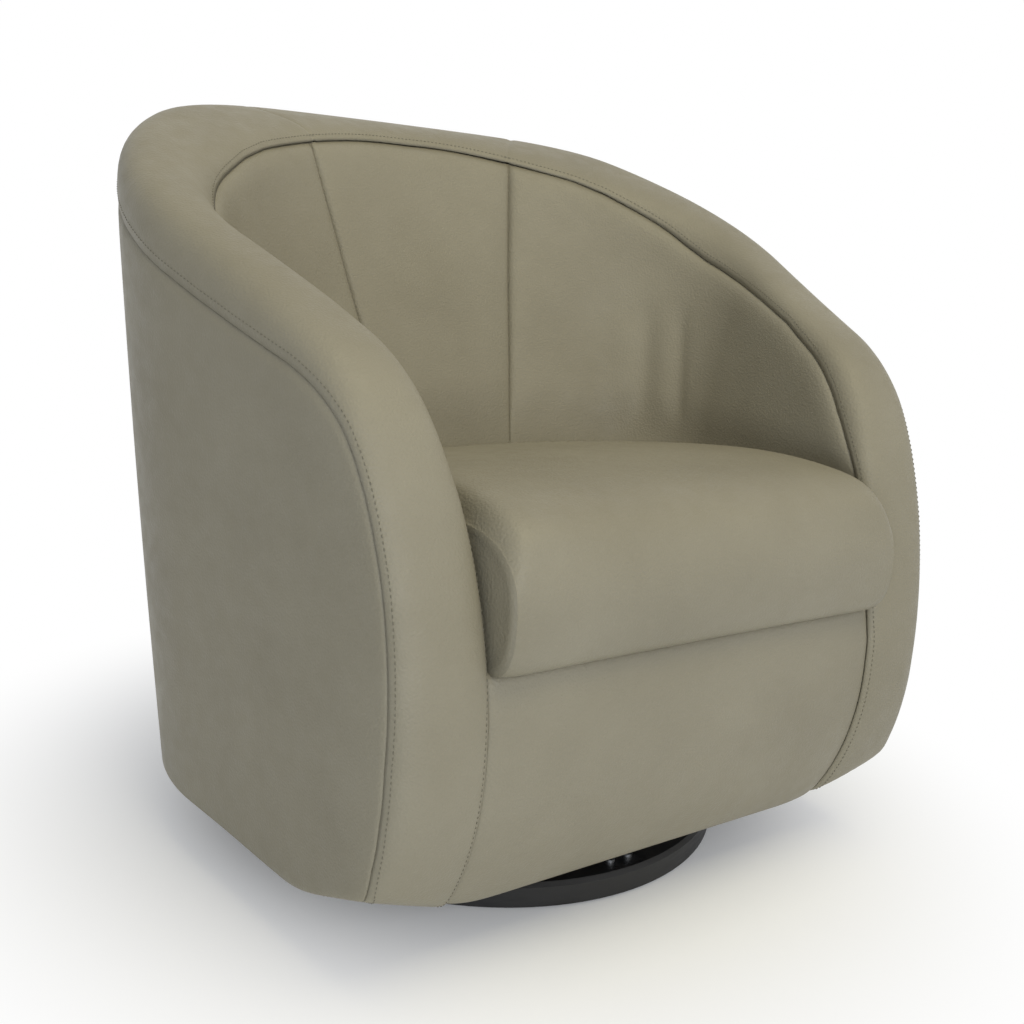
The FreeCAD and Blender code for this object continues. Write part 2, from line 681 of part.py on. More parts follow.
def make_arm_posts(top_rail):
    front = -size("frame_front_reach")
    space = outside_lining.common(under_band).cut(strap_back).cut(corner_lifts(size("cover_thickness")))
    inner = size("post_inner")
    for name, low, high in (("arm_post_left", -FAR, -inner), ("arm_post_right", inner, FAR)):
        post = block(low, high, front, front + size("arm_post_depth"), size("frame_top"), HEADROOM)
        solid_feature(name, post.common(space).cut(top_rail.Shape))


def make_ribs():
    space = frame_space.common(under_rail).cut(strap_back).cut(seat_box)
    half = size("rib_thickness") / 2
    for number in range(RIB_COUNT):
        angle = (number - (RIB_COUNT - 1) / 2) * size("rib_angle")
        plank = block(-half, half, 0, FAR, size("frame_top"), HEADROOM)
        plank.rotate(Vector(0, 0, 0), Vector(0, 0, 1), angle)
        solid_feature("rib_%d" % (number + 1), plank.common(space))


# Seat springs, deck and webbing

def spring_run_line(run):
    """Distance behind the axis of one run of a seat spring."""
    first = size("front_board_thickness") / 2 - size("frame_front_reach")
    last = size("seat_box_reach") - size("front_board_thickness") / 2
    return blend(first, last, run / (SPRING_RUNS - 1))


def spring_shape(middle):
    """One sinuous spring: straight runs joined by half turns."""
    turn = (spring_run_line(1) - spring_run_line(0)) / 2
    level = size("rail_top") + size("spring_clip_thickness") + size("spring_wire") / 2
    half_run = size("spring_width") / 2 - turn
    edges = []
    for run in range(SPRING_RUNS):
        side = 1 if run % 2 == 0 else -1
        y = spring_run_line(run)
        start = Vector(middle - side * half_run, y, level)
        end = Vector(middle + side * half_run, y, level)
        edges.append(Part.LineSegment(start, end).toShape())
        if run < SPRING_RUNS - 1:
            top = end + Vector(side * turn, turn, 0)
            edges.append(Part.Arc(end, top, end + Vector(0, 2 * turn, 0)).toShape())
    path = Part.Wire(edges)
    begin = Vector(middle - half_run, spring_run_line(0), level)
    radius = size("spring_wire") / 2
    corners = []
    for corner in range(WIRE_SIDES + 1):
        angle = 2 * math.pi * (corner + 0.5) / WIRE_SIDES
        corners.append(begin + Vector(0, math.sin(angle), math.cos(angle)) * radius)
    return path.makePipeShell([Part.makePolygon(corners)], True, False)


def spring_middles():
    return [(number - (SPRING_COUNT - 1) / 2) * size("spring_spacing") for number in range(SPRING_COUNT)]


def make_seat_springs():
    springs = doc.addObject("Part::Feature", "seat_springs")
    springs.Shape = Part.makeCompound([spring_shape(middle) for middle in spring_middles()])


def make_spring_clips():
    """Clips folded round the first and the last run of each spring."""
    wall = size("spring_clip_thickness")
    wire = size("spring_wire")
    half = size("spring_clip_width") / 2
    low = size("rail_top")
    clips = []
    for middle in spring_middles():
        for run, open_side in ((0, 1), (SPRING_RUNS - 1, -1)):
            y = spring_run_line(run)
            outer = block(middle - half, middle + half, y - wire, y + wire, low, low + wire + 2 * wall)
            slot_edges = sorted((y - open_side * wire / 2, y + open_side * 2 * wire))
            slot = block(middle - half, middle + half, *slot_edges, low + wall, low + wall + wire)
            clips.append(outer.cut(slot))
    feature = doc.addObject("Part::Feature", "spring_clips")
    feature.Shape = Part.makeCompound(clips)


def make_seat_deck():
    box(
        "seat_deck", "2 * Sizes.seat_box_half_width", "Sizes.seat_box_reach + Sizes.frame_front_reach",
        "Sizes.deck_thickness",
        "-Sizes.seat_box_half_width", "-Sizes.frame_front_reach", "Sizes.deck_height - Sizes.deck_thickness",
    )


def make_back_webbing():
    layer = strap_back.cut(lining_back).common(under_rail)
    straps = []
    for number in range(STRAP_COUNT):
        low = size("strap_first_height") + number * size("strap_pitch")
        straps.append(layer.common(block(-FAR, FAR, 0, FAR, low, low + size("strap_width"))))
    feature = doc.addObject("Part::Feature", "back_webbing")
    feature.Shape = Part.makeCompound(straps)


# Swivel base

def round_pattern(count, radius, turn=0):
    """Formulas for places evenly spread on a circle."""
    places = []
    for number in range(count):
        angle = turn + 360 * number / count
        places.append(("%s * cos(%g deg)" % (radius, angle), "%s * sin(%g deg)" % (radius, angle)))
    return places


def spider_arms(name, grow):
    """The two crossing bars of the spider, or the notches for them when they are grown."""
    length = "(2 * (Sizes.ring_radius - Sizes.spider_margin) + 2 * %s)" % grow
    width = "(Sizes.spider_arm_width + 2 * %s)" % grow
    along_x = box(name + "_x", length, width, "Sizes.spider_thickness",
                  "-%s / 2" % length, "-%s / 2" % width, "Sizes.spider_under")
    along_y = box(name + "_y", width, length, "Sizes.spider_thickness",
                  "-%s / 2" % width, "-%s / 2" % length, "Sizes.spider_under")
    return [along_x, along_y]


def spider_screw_places():
    """Two screws at the end of each spider arm."""
    radius = "Sizes.ring_middle"
    offset = "Sizes.spider_screw_offset"
    places = []
    for sign in (1, -1):
        for side in (1, -1):
            places.append(("%d * %s" % (sign, radius), "%d * %s" % (side, offset)))
            places.append(("%d * %s" % (side, offset), "%d * %s" % (sign, radius)))
    return places


def pins(name, places, radius, height, z):
    """A fused row of round pins, for holes."""
    return fuse(name, [
        cylinder("%s_%d" % (name, number), radius, height, x, y, z) for number, (x, y) in enumerate(places, 1)
    ])


def make_base_ring():
    turned = revolved_body("ring_turning", [
        ("Sizes.ring_inner", "Sizes.glide_height"),
        ("Sizes.ring_radius", "Sizes.glide_height"),
        ("Sizes.ring_radius", "Sizes.ring_top - Sizes.ring_round"),
        ("Sizes.ring_radius - Sizes.ring_round", "Sizes.ring_top"),
        ("Sizes.ring_inner", "Sizes.ring_top"),
    ])
    notched = cut("ring_notched", turned, fuse("ring_notches", spider_arms("ring_notch", "Sizes.notch_clearance")))
    holes = pins("ring_screw_holes", spider_screw_places(), "Sizes.spider_screw_radius",
                 "Sizes.spider_screw_length", "Sizes.ring_top - Sizes.spider_screw_length")
    cut("base_ring", notched, holes)


def make_floor_glides():
    group("floor_glides", [
        cylinder("glide_%d" % number, "Sizes.glide_radius", "Sizes.glide_height", x, y)
        for number, (x, y) in enumerate(round_pattern(GLIDE_COUNT, "Sizes.ring_middle", 30), 1)
    ])


def hub_bolt_places():
    return round_pattern(HUB_BOLTS, "Sizes.hub_bolt_circle", 45)


def make_base_spider():
    hub = cylinder("spider_hub", "Sizes.spider_hub_radius", "Sizes.spider_thickness", z="Sizes.spider_under")
    cross = fuse("spider_cross", [hub] + spider_arms("spider_arm", "0"))
    holes = fuse("spider_holes", [
        cylinder("spider_hub_bore", "Sizes.spider_hub_hole", "Sizes.spider_thickness", z="Sizes.spider_under"),
        pins("spider_bolt_holes", hub_bolt_places(), "Sizes.hub_bolt_radius", "Sizes.spider_thickness",
             "Sizes.spider_under"),
        pins("spider_screw_holes", spider_screw_places(), "Sizes.spider_screw_radius", "Sizes.spider_thickness",
             "Sizes.spider_under"),
    ])
    cut("base_spider", cross, holes)


def make_spider_screws():
    screws = []
    for number, (x, y) in enumerate(spider_screw_places(), 1):
        name = "spider_screw_%d" % number
        shank = cylinder(name + "_shank", "Sizes.spider_screw_radius", "Sizes.spider_screw_length",
                         x, y, "Sizes.ring_top - Sizes.spider_screw_length")
        head = cylinder(name + "_head", "Sizes.spider_screw_head", "Sizes.spider_screw_head_height",
                        x, y, "Sizes.ring_top")
        screws.append(fuse(name, [shank, head]))
    group("spider_screws", screws)


def ball_groove(name):
    groove = doc.addObject("Part::Torus", name)
    bind(groove, Radius1="Sizes.race_radius", Radius2="Sizes.groove_radius")
    return place(groove, z="Sizes.ball_centre")


def make_lower_plate():
    disc = cylinder("lower_disc", "Sizes.lower_plate_radius", "Sizes.plate_thickness", z="Sizes.ring_top")
    cuts = fuse("lower_plate_cuts", [
        cylinder("lower_plate_bore", "Sizes.king_radius", "Sizes.plate_thickness", z="Sizes.ring_top"),
        pins("lower_plate_holes", hub_bolt_places(), "Sizes.hub_bolt_radius", "Sizes.plate_thickness",
             "Sizes.ring_top"),
        ball_groove("lower_groove"),
    ])
    cut("lower_race_plate", disc, cuts)


def make_hub_bolts():
    bolts = []
    nuts = []
    for number, (x, y) in enumerate(hub_bolt_places(), 1):
        name = "hub_bolt_%d" % number
        shank_under = "Sizes.spider_under - Sizes.hub_nut_height"
        shank = cylinder(name + "_shank", "Sizes.hub_bolt_radius",
                         "Sizes.lower_plate_top - (%s)" % shank_under, x, y, shank_under)
        head = hexagon(name + "_head", "Sizes.hub_bolt_head_radius", "Sizes.hub_bolt_head_height",
                       x, y, "Sizes.lower_plate_top")
        bolts.append(fuse(name, [shank, head]))
        blank = hexagon("hub_nut_%d_blank" % number, "Sizes.hub_nut_radius", "Sizes.hub_nut_height",
                        x, y, shank_under)
        bore = cylinder("hub_nut_%d_bore" % number, "Sizes.hub_bolt_radius", "Sizes.hub_nut_height",
                        x, y, shank_under)
        nuts.append(cut("hub_nut_%d" % number, blank, bore))
    group("lower_plate_bolts", bolts)
    group("lower_plate_nuts", nuts)


def make_king_bolt():
    revolved_body("king_bolt", [
        ("0", "Sizes.spider_under"),
        ("Sizes.king_head_radius", "Sizes.spider_under"),
        ("Sizes.king_head_radius", "Sizes.ring_top"),
        ("Sizes.king_radius", "Sizes.ring_top"),
        ("Sizes.king_radius", "Sizes.upper_plate_top + Sizes.king_length"),
        ("0", "Sizes.upper_plate_top + Sizes.king_length"),
    ])
    washer_under = "Sizes.upper_plate_top + Sizes.ball_clearance"
    revolved_body("king_washer", [
        ("Sizes.king_radius", washer_under),
        ("Sizes.king_washer_radius", washer_under),
        ("Sizes.king_washer_radius", washer_under + " + Sizes.king_washer_thickness"),
        ("Sizes.king_radius", washer_under + " + Sizes.king_washer_thickness"),
    ])
    nut_under = washer_under + " + Sizes.king_washer_thickness"
    blank = hexagon("king_nut_blank", "Sizes.king_nut_radius", "Sizes.king_nut_height", z=nut_under)
    bore = cylinder("king_nut_bore", "Sizes.king_radius", "Sizes.king_nut_height", z=nut_under)
    cut("king_nut", blank, bore)


def ball_places():
    return round_pattern(BALL_COUNT, "Sizes.race_radius")


def make_ball_race():
    balls = []
    for number, (x, y) in enumerate(ball_places(), 1):
        ball = doc.addObject("Part::Sphere", "ball_%d" % number)
        bind(ball, Radius="Sizes.ball_radius")
        balls.append(place(ball, x, y, "Sizes.ball_centre"))
    group("bearing_balls", balls)
    under = "Sizes.ball_centre - Sizes.cage_thickness / 2"
    over = "Sizes.ball_centre + Sizes.cage_thickness / 2"
    blank = revolved_body("cage_blank", [
        ("Sizes.race_radius - Sizes.cage_width / 2", under),
        ("Sizes.race_radius + Sizes.cage_width / 2", under),
        ("Sizes.race_radius + Sizes.cage_width / 2", over),
        ("Sizes.race_radius - Sizes.cage_width / 2", over),
    ])
    pockets = pins("cage_pockets", ball_places(), "Sizes.ball_radius + Sizes.cage_pocket_clearance",
                   "Sizes.cage_thickness", under)
    cut("ball_cage", blank, pockets)


def plate_bolt_places():
    offset = "Sizes.plate_bolt_offset"
    return [("%d * %s" % (x, offset), "%d * %s" % (y, offset)) for x in (-1, 1) for y in (-1, 1)]


def make_upper_plate():
    half = "-Sizes.upper_plate_side / 2"
    blank = box("upper_blank", "Sizes.upper_plate_side", "Sizes.upper_plate_side", "Sizes.plate_thickness",
                half, half, "Sizes.upper_plate_under")
    cuts = fuse("upper_plate_cuts", [
        cylinder("upper_plate_bore", "Sizes.king_radius + Sizes.king_clearance", "Sizes.plate_thickness",
                 z="Sizes.upper_plate_under"),
        pins("upper_plate_holes", plate_bolt_places(), "Sizes.plate_bolt_radius", "Sizes.plate_thickness",
             "Sizes.upper_plate_under"),
        ball_groove("upper_groove"),
    ])
    cut("upper_race_plate", blank, cuts)


def make_swivel_board():
    half = "-Sizes.swivel_board_side / 2"
    blank = box("board_blank", "Sizes.swivel_board_side", "Sizes.swivel_board_side", "Sizes.swivel_board_thickness",
                half, half, "Sizes.upper_plate_top")
    cuts = fuse("board_cuts", [
        cylinder("board_bore", "Sizes.swivel_board_hole", "Sizes.swivel_board_thickness", z="Sizes.upper_plate_top"),
        pins("board_holes", plate_bolt_places(), "Sizes.plate_bolt_radius", "Sizes.swivel_board_thickness",
             "Sizes.upper_plate_top"),
    ])
    cut("swivel_board", blank, cuts)


def make_plate_bolts():
    bolts = []
    nuts = []
    for number, (x, y) in enumerate(plate_bolt_places(), 1):
        name = "plate_bolt_%d" % number
        head = hexagon(name + "_head", "Sizes.plate_bolt_head_radius", "Sizes.plate_bolt_head_height",
                       x, y, "Sizes.upper_plate_under - Sizes.plate_bolt_head_height")
        shank = cylinder(name + "_shank", "Sizes.plate_bolt_radius", "Sizes.frame_top - Sizes.upper_plate_under",
                         x, y, "Sizes.upper_plate_under")
        bolts.append(fuse(name, [head, shank]))
        barrel = cylinder("tee_nut_%d_barrel" % number, "Sizes.tee_nut_barrel_radius", "Sizes.tee_nut_barrel_length",
                          x, y, "Sizes.frame_top - Sizes.tee_nut_barrel_length")
        flange = cylinder("tee_nut_%d_flange" % number, "Sizes.tee_nut_flange_radius",
                          "Sizes.tee_nut_flange_thickness", x, y, "Sizes.frame_top")
        bore = cylinder("tee_nut_%d_bore" % number, "Sizes.plate_bolt_radius",
                        "Sizes.tee_nut_barrel_length + Sizes.tee_nut_flange_thickness",
                        x, y, "Sizes.frame_top - Sizes.tee_nut_barrel_length")
        nuts.append(cut("tee_nut_%d" % number, fuse("tee_nut_%d_blank" % number, [barrel, flange]), bore))
    group("plate_bolts", bolts)
    group("tee_nuts", nuts)


make_base_ring()
make_floor_glides()
make_base_spider()
make_spider_screws()
make_lower_plate()
make_hub_bolts()
make_king_bolt()
make_ball_race()
make_upper_plate()
make_swivel_board()
make_plate_bolts()
make_bottom_frame()
make_cross_rails()
make_seat_rails()
make_arm_posts(make_top_rail())
make_ribs()
make_seat_springs()
make_spring_clips()
make_seat_deck()
make_back_webbing()
make_rim_band()
make_inside_pads()
make_front_panel()
make_outside_covers()
make_dust_cover()
make_seat_cushion()
doc.recompute()

NODES = [
    "base_ring", "floor_glides", "base_spider", "spider_screws",
    "lower_race_plate", "lower_plate_bolts", "lower_plate_nuts", "king_bolt", "king_washer", "king_nut",
    "ball_cage", "bearing_balls",
    "upper_race_plate", "plate_bolts", "tee_nuts", "swivel_board",
    "bottom_frame", "cross_rail_front", "cross_rail_rear",
    "front_board", "side_rail_left", "side_rail_right", "rear_rail",
    "arm_post_left", "arm_post_right", "top_rail",
    "seat_springs", "spring_clips", "seat_deck", "back_webbing",
    "band_left", "band_back", "band_right", "inside_left", "inside_back", "inside_right",
    "front_panel", "outside_left", "outside_back", "outside_right", "dust_cover",
    "cushion_cover", "cushion_core",
] + ["rib_%d" % (number + 1) for number in range(RIB_COUNT)]

for item in doc.Objects:
    if "Invalid" in item.State or "Error" in item.State:
        raise RuntimeError("%s did not build: %s" % (item.Name, item.State))

os.makedirs("parts", exist_ok=True)
for name in NODES:
    item = finish(doc.getObject(name), name)
    if item.Shape.isNull() or not item.Shape.isValid() or not item.Shape.Solids:
        raise RuntimeError("%s has no valid solid" % name)
    item.Shape.exportStep("parts/%s.step" % name)
    bounds = item.Shape.BoundBox
    print("%-18s solids %2d  volume %9.0f  x %6.1f %6.1f  y %6.1f %6.1f  z %6.1f %6.1f" % (
        name, len(item.Shape.Solids), item.Shape.Volume,
        bounds.XMin, bounds.XMax, bounds.YMin, bounds.YMax, bounds.ZMin, bounds.ZMax))
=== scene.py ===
import json
import math

import bpy
import numpy as np
from mathutils import Matrix, Vector


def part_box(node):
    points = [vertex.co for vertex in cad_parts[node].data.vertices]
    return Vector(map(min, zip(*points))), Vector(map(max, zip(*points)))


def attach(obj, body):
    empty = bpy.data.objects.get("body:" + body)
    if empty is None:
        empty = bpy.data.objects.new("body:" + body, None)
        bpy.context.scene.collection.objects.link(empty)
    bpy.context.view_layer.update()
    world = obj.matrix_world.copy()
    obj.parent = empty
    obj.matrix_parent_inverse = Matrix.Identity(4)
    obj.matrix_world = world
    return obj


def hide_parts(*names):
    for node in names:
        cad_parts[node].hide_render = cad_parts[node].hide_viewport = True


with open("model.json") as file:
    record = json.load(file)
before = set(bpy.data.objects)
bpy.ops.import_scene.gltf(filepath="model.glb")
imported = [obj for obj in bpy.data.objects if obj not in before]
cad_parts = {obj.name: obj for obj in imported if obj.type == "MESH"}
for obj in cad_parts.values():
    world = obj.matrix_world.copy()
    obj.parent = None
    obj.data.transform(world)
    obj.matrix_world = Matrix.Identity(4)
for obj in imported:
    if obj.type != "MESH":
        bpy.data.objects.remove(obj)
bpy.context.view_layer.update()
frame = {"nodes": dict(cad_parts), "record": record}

# The chair's main sizes, in metres. The outside is the solids'. The inside walls stand further
# apart than theirs, and the inside back stands further forward, as the photo shows.
FLOOR_GAP = 0.058
DECK = 0.288
TOP = 0.762
GAUGE_Y = -0.300
# half width, back reach, back radius, corner radius, half width at the front
OUTSIDE = {"low": FLOOR_GAP, "high": TOP,
           "low_plan": (0.366, 0.285, 0.480, 0.235, 0.334),
           "high_plan": (0.414, 0.359, 0.545, 0.265, 0.337)}
INSIDE = {"low": DECK, "high": TOP,
          "low_plan": (0.236, 0.062, 0.620, 0.100, 0.243),
          "high_plan": (0.366, 0.266, 0.430, 0.170, 0.270)}
# Half the distance between the two seams down the inside back
BACK_SEAM_LOW = 0.063
BACK_SEAM_HIGH = 0.145
ARM_REACH = 0.340
BULGE_HEIGHT = 0.215
LOWER_RADIUS = 0.271
UPPER_RADIUS = 0.549
SHOULDER_RADIUS = 0.180
CREST_RADIUS = 0.250
ARM_HEIGHT = 0.640
ARM_SLOPE = math.radians(23)
TURN_UNDER = 0.014
UNDER_EDGE_Y = -0.235
HUB_Y = 0.05
CREST_FLAT = 0.1
# The steps along the rim
STATION = 0.006
FOOT_STEPS = 20
SLOPE_STEPS = 300
CREST_STEPS = 60
BACK_STEPS = 105


def smooth(t):
    t = np.clip(t, 0.0, 1.0)
    return t * t * (3 - 2 * t)


def unit(v):
    return v / np.maximum(np.linalg.norm(v, axis=-1, keepdims=True), 1e-12)


def run_along(points):
    """The distance along a line at each of its points."""
    steps = np.linalg.norm(np.diff(points, axis=0), axis=1)
    return np.concatenate([[0], np.cumsum(steps)])


# Plan of the walls


def plan(wall, z):
    """The five plan sizes of a wall at one height."""
    share = max((z - wall["low"]) / (wall["high"] - wall["low"]), 0.0)
    return [a + (b - a) * share for a, b in zip(wall["low_plan"], wall["high_plan"])]


def plan_marks(wall, z):
    """The straight side and the two arcs of a wall at one height, and where they meet."""
    half, back, back_radius, corner_radius, front = plan(wall, z)
    back_y = back - back_radius
    corner_x = half - corner_radius
    corner_y = back_y + math.sqrt((back_radius - corner_radius) ** 2 - corner_x ** 2)
    dx, dy = corner_x - front, corner_y - GAUGE_Y
    distance = math.hypot(dx, dy)
    heading = math.atan2(dy, dx) - math.asin(corner_radius / distance)
    run = math.sqrt(distance ** 2 - corner_radius ** 2)
    touch_y = GAUGE_Y + run * math.sin(heading)
    lean = 1 / math.tan(heading)
    share = back_radius / (back_radius - corner_radius)
    joint_x = corner_x * share
    joint_y = back_y + (corner_y - back_y) * share
    return {"front": front, "lean": lean, "touch_y": touch_y, "joint": (joint_x, joint_y),
            "corner": (corner_x, corner_y, corner_radius), "back": (0.0, back_y, back_radius)}


def half_width(wall, y, z):
    marks = plan_marks(wall, z)
    if y <= marks["touch_y"]:
        return marks["front"] + (y - GAUGE_Y) * marks["lean"]
    cx, cy, radius = marks["corner"] if y <= marks["joint"][1] else marks["back"]
    return cx + math.sqrt(max(radius ** 2 - (y - cy) ** 2, 0.0))


def back_reach(wall, x, z):
    marks = plan_marks(wall, z)
    cx, cy, radius = marks["back"] if abs(x) <= marks["joint"][0] else marks["corner"]
    return cy + math.sqrt(max(radius ** 2 - (abs(x) - cx) ** 2, 0.0))


def on_ray(wall, angle, z):
    """Where a level ray from the hub meets the right half of a wall."""
    marks = plan_marks(wall, z)
    c, s = math.cos(angle), math.sin(angle)

    def hit(circle):
        cx, cy, radius = circle
        dx, dy = -cx, HUB_Y - cy
        b = -(dx * c + dy * s)
        t = b + math.sqrt(max(b * b - (dx * dx + dy * dy - radius ** 2), 0.0))
        return c * t, HUB_Y + s * t

    x, y = hit(marks["back"])
    if x <= marks["joint"][0] and y >= marks["joint"][1]:
        return x, y
    x, y = hit(marks["corner"])
    if y >= marks["touch_y"]:
        return x, y
    t = (marks["front"] + (HUB_Y - GAUGE_Y) * marks["lean"]) / (c - s * marks["lean"])
    return c * t, HUB_Y + s * t


# Side profile of the arms and the rim


def arc(cy, cz, radius, start, end, step=0.001):
    """Points on an arc, each with its outward direction."""
    count = max(int(radius * abs(end - start) / step), 2)
    turns = [(math.cos(a), math.sin(a)) for a in np.linspace(start, end, count)]
    return [(cy + radius * c, cz + radius * s, c, s) for c, s in turns]


def side_profile():
    """The side line of the arm from under its foot to its crest, with its outward directions."""
    ny, nz = -math.sin(ARM_SLOPE), math.cos(ARM_SLOPE)
    lower = (-ARM_REACH + LOWER_RADIUS, BULGE_HEIGHT)
    upper = (-ARM_REACH + UPPER_RADIUS, BULGE_HEIGHT)
    inner = UPPER_RADIUS - SHOULDER_RADIUS
    along = (ARM_HEIGHT * nz - SHOULDER_RADIUS - (upper[0] * ny + upper[1] * nz)) / inner
    line_angle = math.pi / 2 + ARM_SLOPE
    shoulder_angle = line_angle + math.acos(along)
    shoulder = (upper[0] + inner * math.cos(shoulder_angle),
                upper[1] + inner * math.sin(shoulder_angle))
    crest_z = TOP - CREST_RADIUS
    crest_y = (ARM_HEIGHT * nz - CREST_RADIUS - crest_z * nz) / ny
    drop = FLOOR_GAP + TURN_UNDER - lower[1]
    fillet_y = lower[0] - math.sqrt((LOWER_RADIUS - TURN_UNDER) ** 2 - drop ** 2)
    fillet_angle = 2 * math.pi + math.atan2(drop, fillet_y - lower[0])
    points = [(y, FLOOR_GAP, 0.0, -1.0) for y in np.linspace(UNDER_EDGE_Y, fillet_y, FOOT_STEPS)]
    points += arc(fillet_y, FLOOR_GAP + TURN_UNDER, TURN_UNDER, 1.5 * math.pi, fillet_angle)[1:]
    points += arc(lower[0], lower[1], LOWER_RADIUS, fillet_angle, math.pi)[1:]
    points += arc(upper[0], upper[1], UPPER_RADIUS, math.pi, shoulder_angle)[1:]
    points += arc(shoulder[0], shoulder[1], SHOULDER_RADIUS, shoulder_angle, line_angle)[1:]
    y0, z0 = points[-1][:2]
    y1 = crest_y + CREST_RADIUS * ny
    for y in np.linspace(y0, y1, SLOPE_STEPS)[1:]:
        points.append((y, z0 + (y - y0) * math.tan(ARM_SLOPE), ny, nz))
    points += arc(crest_y, crest_z, CREST_RADIUS, line_angle, math.pi / 2)[1:]
    level = np.linspace(crest_y, crest_y + CREST_FLAT, CREST_STEPS)
    points += [(y, TOP, 0.0, 1.0) for y in level[1:]]
    return np.array(points)


PROFILE = side_profile()
PROFILE_RUN = run_along(PROFILE[:, :2])
RISING = int(np.argmin(PROFILE[:, 0]))
HUB_RUN = float(np.interp(HUB_Y, PROFILE[RISING:, 0], PROFILE_RUN[RISING:]))
LOW_RUN = float(PROFILE_RUN[np.argmax(PROFILE[:, 1] > FLOOR_GAP + 1e-6)])
ARM_RUNS = np.linspace(0, HUB_RUN, int(HUB_RUN / STATION))
BACK_ANGLES = np.linspace(0, math.pi / 2, BACK_STEPS)[1:]
HALF_COUNT = len(ARM_RUNS) + len(BACK_ANGLES)
# Where an inset begins to turn from square to the rim to straight down, and the least tilt for it
BLEND_Y = -0.18
LEAST_TILT = 0.3
RAY_PASSES = 14


def profile_at(run):
    return [float(np.interp(run, PROFILE_RUN, PROFILE[:, i])) for i in range(4)]


def rim_height(y):
    return float(np.interp(y, PROFILE[RISING:, 0], PROFILE[RISING:, 1]))


def rim_tilt(y):
    return float(np.interp(y, PROFILE[RISING:, 0], PROFILE[RISING:, 3]))


def rim(wall, inset):
    """The line on a wall's right half that lies the inset inside the rim, from the foot to the
    middle of the back. The inset is one value for each station."""
    points = []
    blend_from = float(np.interp(BLEND_Y, PROFILE[RISING:, 0], PROFILE_RUN[RISING:]))
    for run, depth in zip(ARM_RUNS, inset):
        y, z, ny, nz = profile_at(run)
        share = float(smooth((run - blend_from) / (HUB_RUN - blend_from)))
        dy = -ny * depth * (1 - share)
        dz = -nz * depth * (1 - share) - depth / max(nz, LEAST_TILT) * share
        points.append((half_width(wall, y + dy, z + dz), y + dy, z + dz))
    z = points[-1][2]
    for angle, depth in zip(BACK_ANGLES, inset[len(ARM_RUNS):]):
        for _ in range(RAY_PASSES):
            x, y = on_ray(wall, angle, z)
            z = rim_height(y) - depth / rim_tilt(y)
        points.append((x, y, z))
    return np.array(points)


def by_station(arm, back):
    """An inset for each station: from a table of run and value along the arm, then from one of
    angle and value round the back."""
    runs, near = zip(*arm)
    angles, far = zip(*back)
    return np.concatenate([np.interp(ARM_RUNS - LOW_RUN, runs, near),
                           np.interp(np.degrees(BACK_ANGLES), angles, far)])


OUTER_DROP = by_station(
    [(0.0, 0.010), (0.048, 0.012), (0.085, 0.018), (0.133, 0.022), (0.182, 0.0225),
     (0.225, 0.020), (0.297, 0.0165), (0.340, 0.0145), (0.413, 0.0135), (0.443, 0.0145),
     (0.473, 0.0175), (0.504, 0.023), (0.540, 0.0295), (0.589, 0.0355), (0.643, 0.041),
     (0.704, 0.0455), (0.777, 0.0485), (0.813, 0.049)],
    [(0, 0.049), (4, 0.0495), (11, 0.049), (20, 0.045), (45, 0.036), (90, 0.032)])
INNER_DROP = by_station(
    [(0.0, 0.007), (0.121, 0.009), (0.215, 0.009), (0.243, 0.0125), (0.27, 0.015),
     (0.401, 0.0215), (0.437, 0.027), (0.475, 0.031), (0.522, 0.0295), (0.574, 0.0255),
     (0.631, 0.0215), (0.692, 0.025), (0.771, 0.032), (0.82, 0.0345)],
    [(0, 0.0345), (5, 0.032), (10, 0.027), (17.5, 0.021), (25, 0.0155), (33, 0.0135),
     (44, 0.0145), (72.5, 0.0155), (90, 0.0165)])
MIRROR = np.array((-1, 1, 1))


def both_sides(half):
    """The whole of a line or grid, from the left foot round the back to the right foot."""
    return np.concatenate([half[:-1] * MIRROR, half[::-1]])


OUTER_HALF = rim(OUTSIDE, OUTER_DROP)
INNER_HALF = rim(INSIDE, INNER_DROP)
OUTER_SEAM = both_sides(OUTER_HALF)
INNER_SEAM = both_sides(INNER_HALF)
OUTER_EDGE = both_sides(rim(OUTSIDE, np.zeros(HALF_COUNT)))
INNER_EDGE = both_sides(rim(INSIDE, np.zeros(HALF_COUNT)))
COUNT = len(OUTER_EDGE)


def seam_x(z):
    """How far from the middle a back seam lies at one height."""
    return BACK_SEAM_LOW + (BACK_SEAM_HIGH - BACK_SEAM_LOW) * (z - DECK) / (TOP - DECK)


# Meshes


def grid_normals(grid):
    return unit(np.cross(np.gradient(grid, axis=0), np.gradient(grid, axis=1)))


def new_object(name, verts, faces, material, body):
    mesh = bpy.data.meshes.new(name)
    mesh.from_pydata([tuple(v) for v in verts], [], [tuple(f) for f in faces])
    mesh.validate()
    mesh.update()
    obj = bpy.data.objects.new(name, mesh)
    bpy.context.collection.objects.link(obj)
    mesh.materials.append(material)
    mesh.polygons.foreach_set("use_smooth", [True] * len(mesh.polygons))
    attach(obj, body)
    return obj


def grid_faces(rows, columns, flip=False, start=0):
    faces = []
    for i in range(rows - 1):
        for j in range(columns - 1):
            a = start + i * columns + j
            face = (a, a + 1, a + columns + 1, a + columns)
            faces.append(face[::-1] if flip else face)
    return faces


def grid_object(name, grid, material, body, flip=False):
    rows, columns = grid.shape[:2]
    faces = grid_faces(rows, columns, flip)
    return new_object(name, grid.reshape(-1, 3), faces, material, body)


# Materials


def node_material(name):
    material = bpy.data.materials.new(name)
    material.use_nodes = True
    tree = material.node_tree
    shader = tree.nodes["Principled BSDF"]
    coords = tree.nodes.new("ShaderNodeTexCoord")
    return material, tree, shader, coords.outputs["Object"]


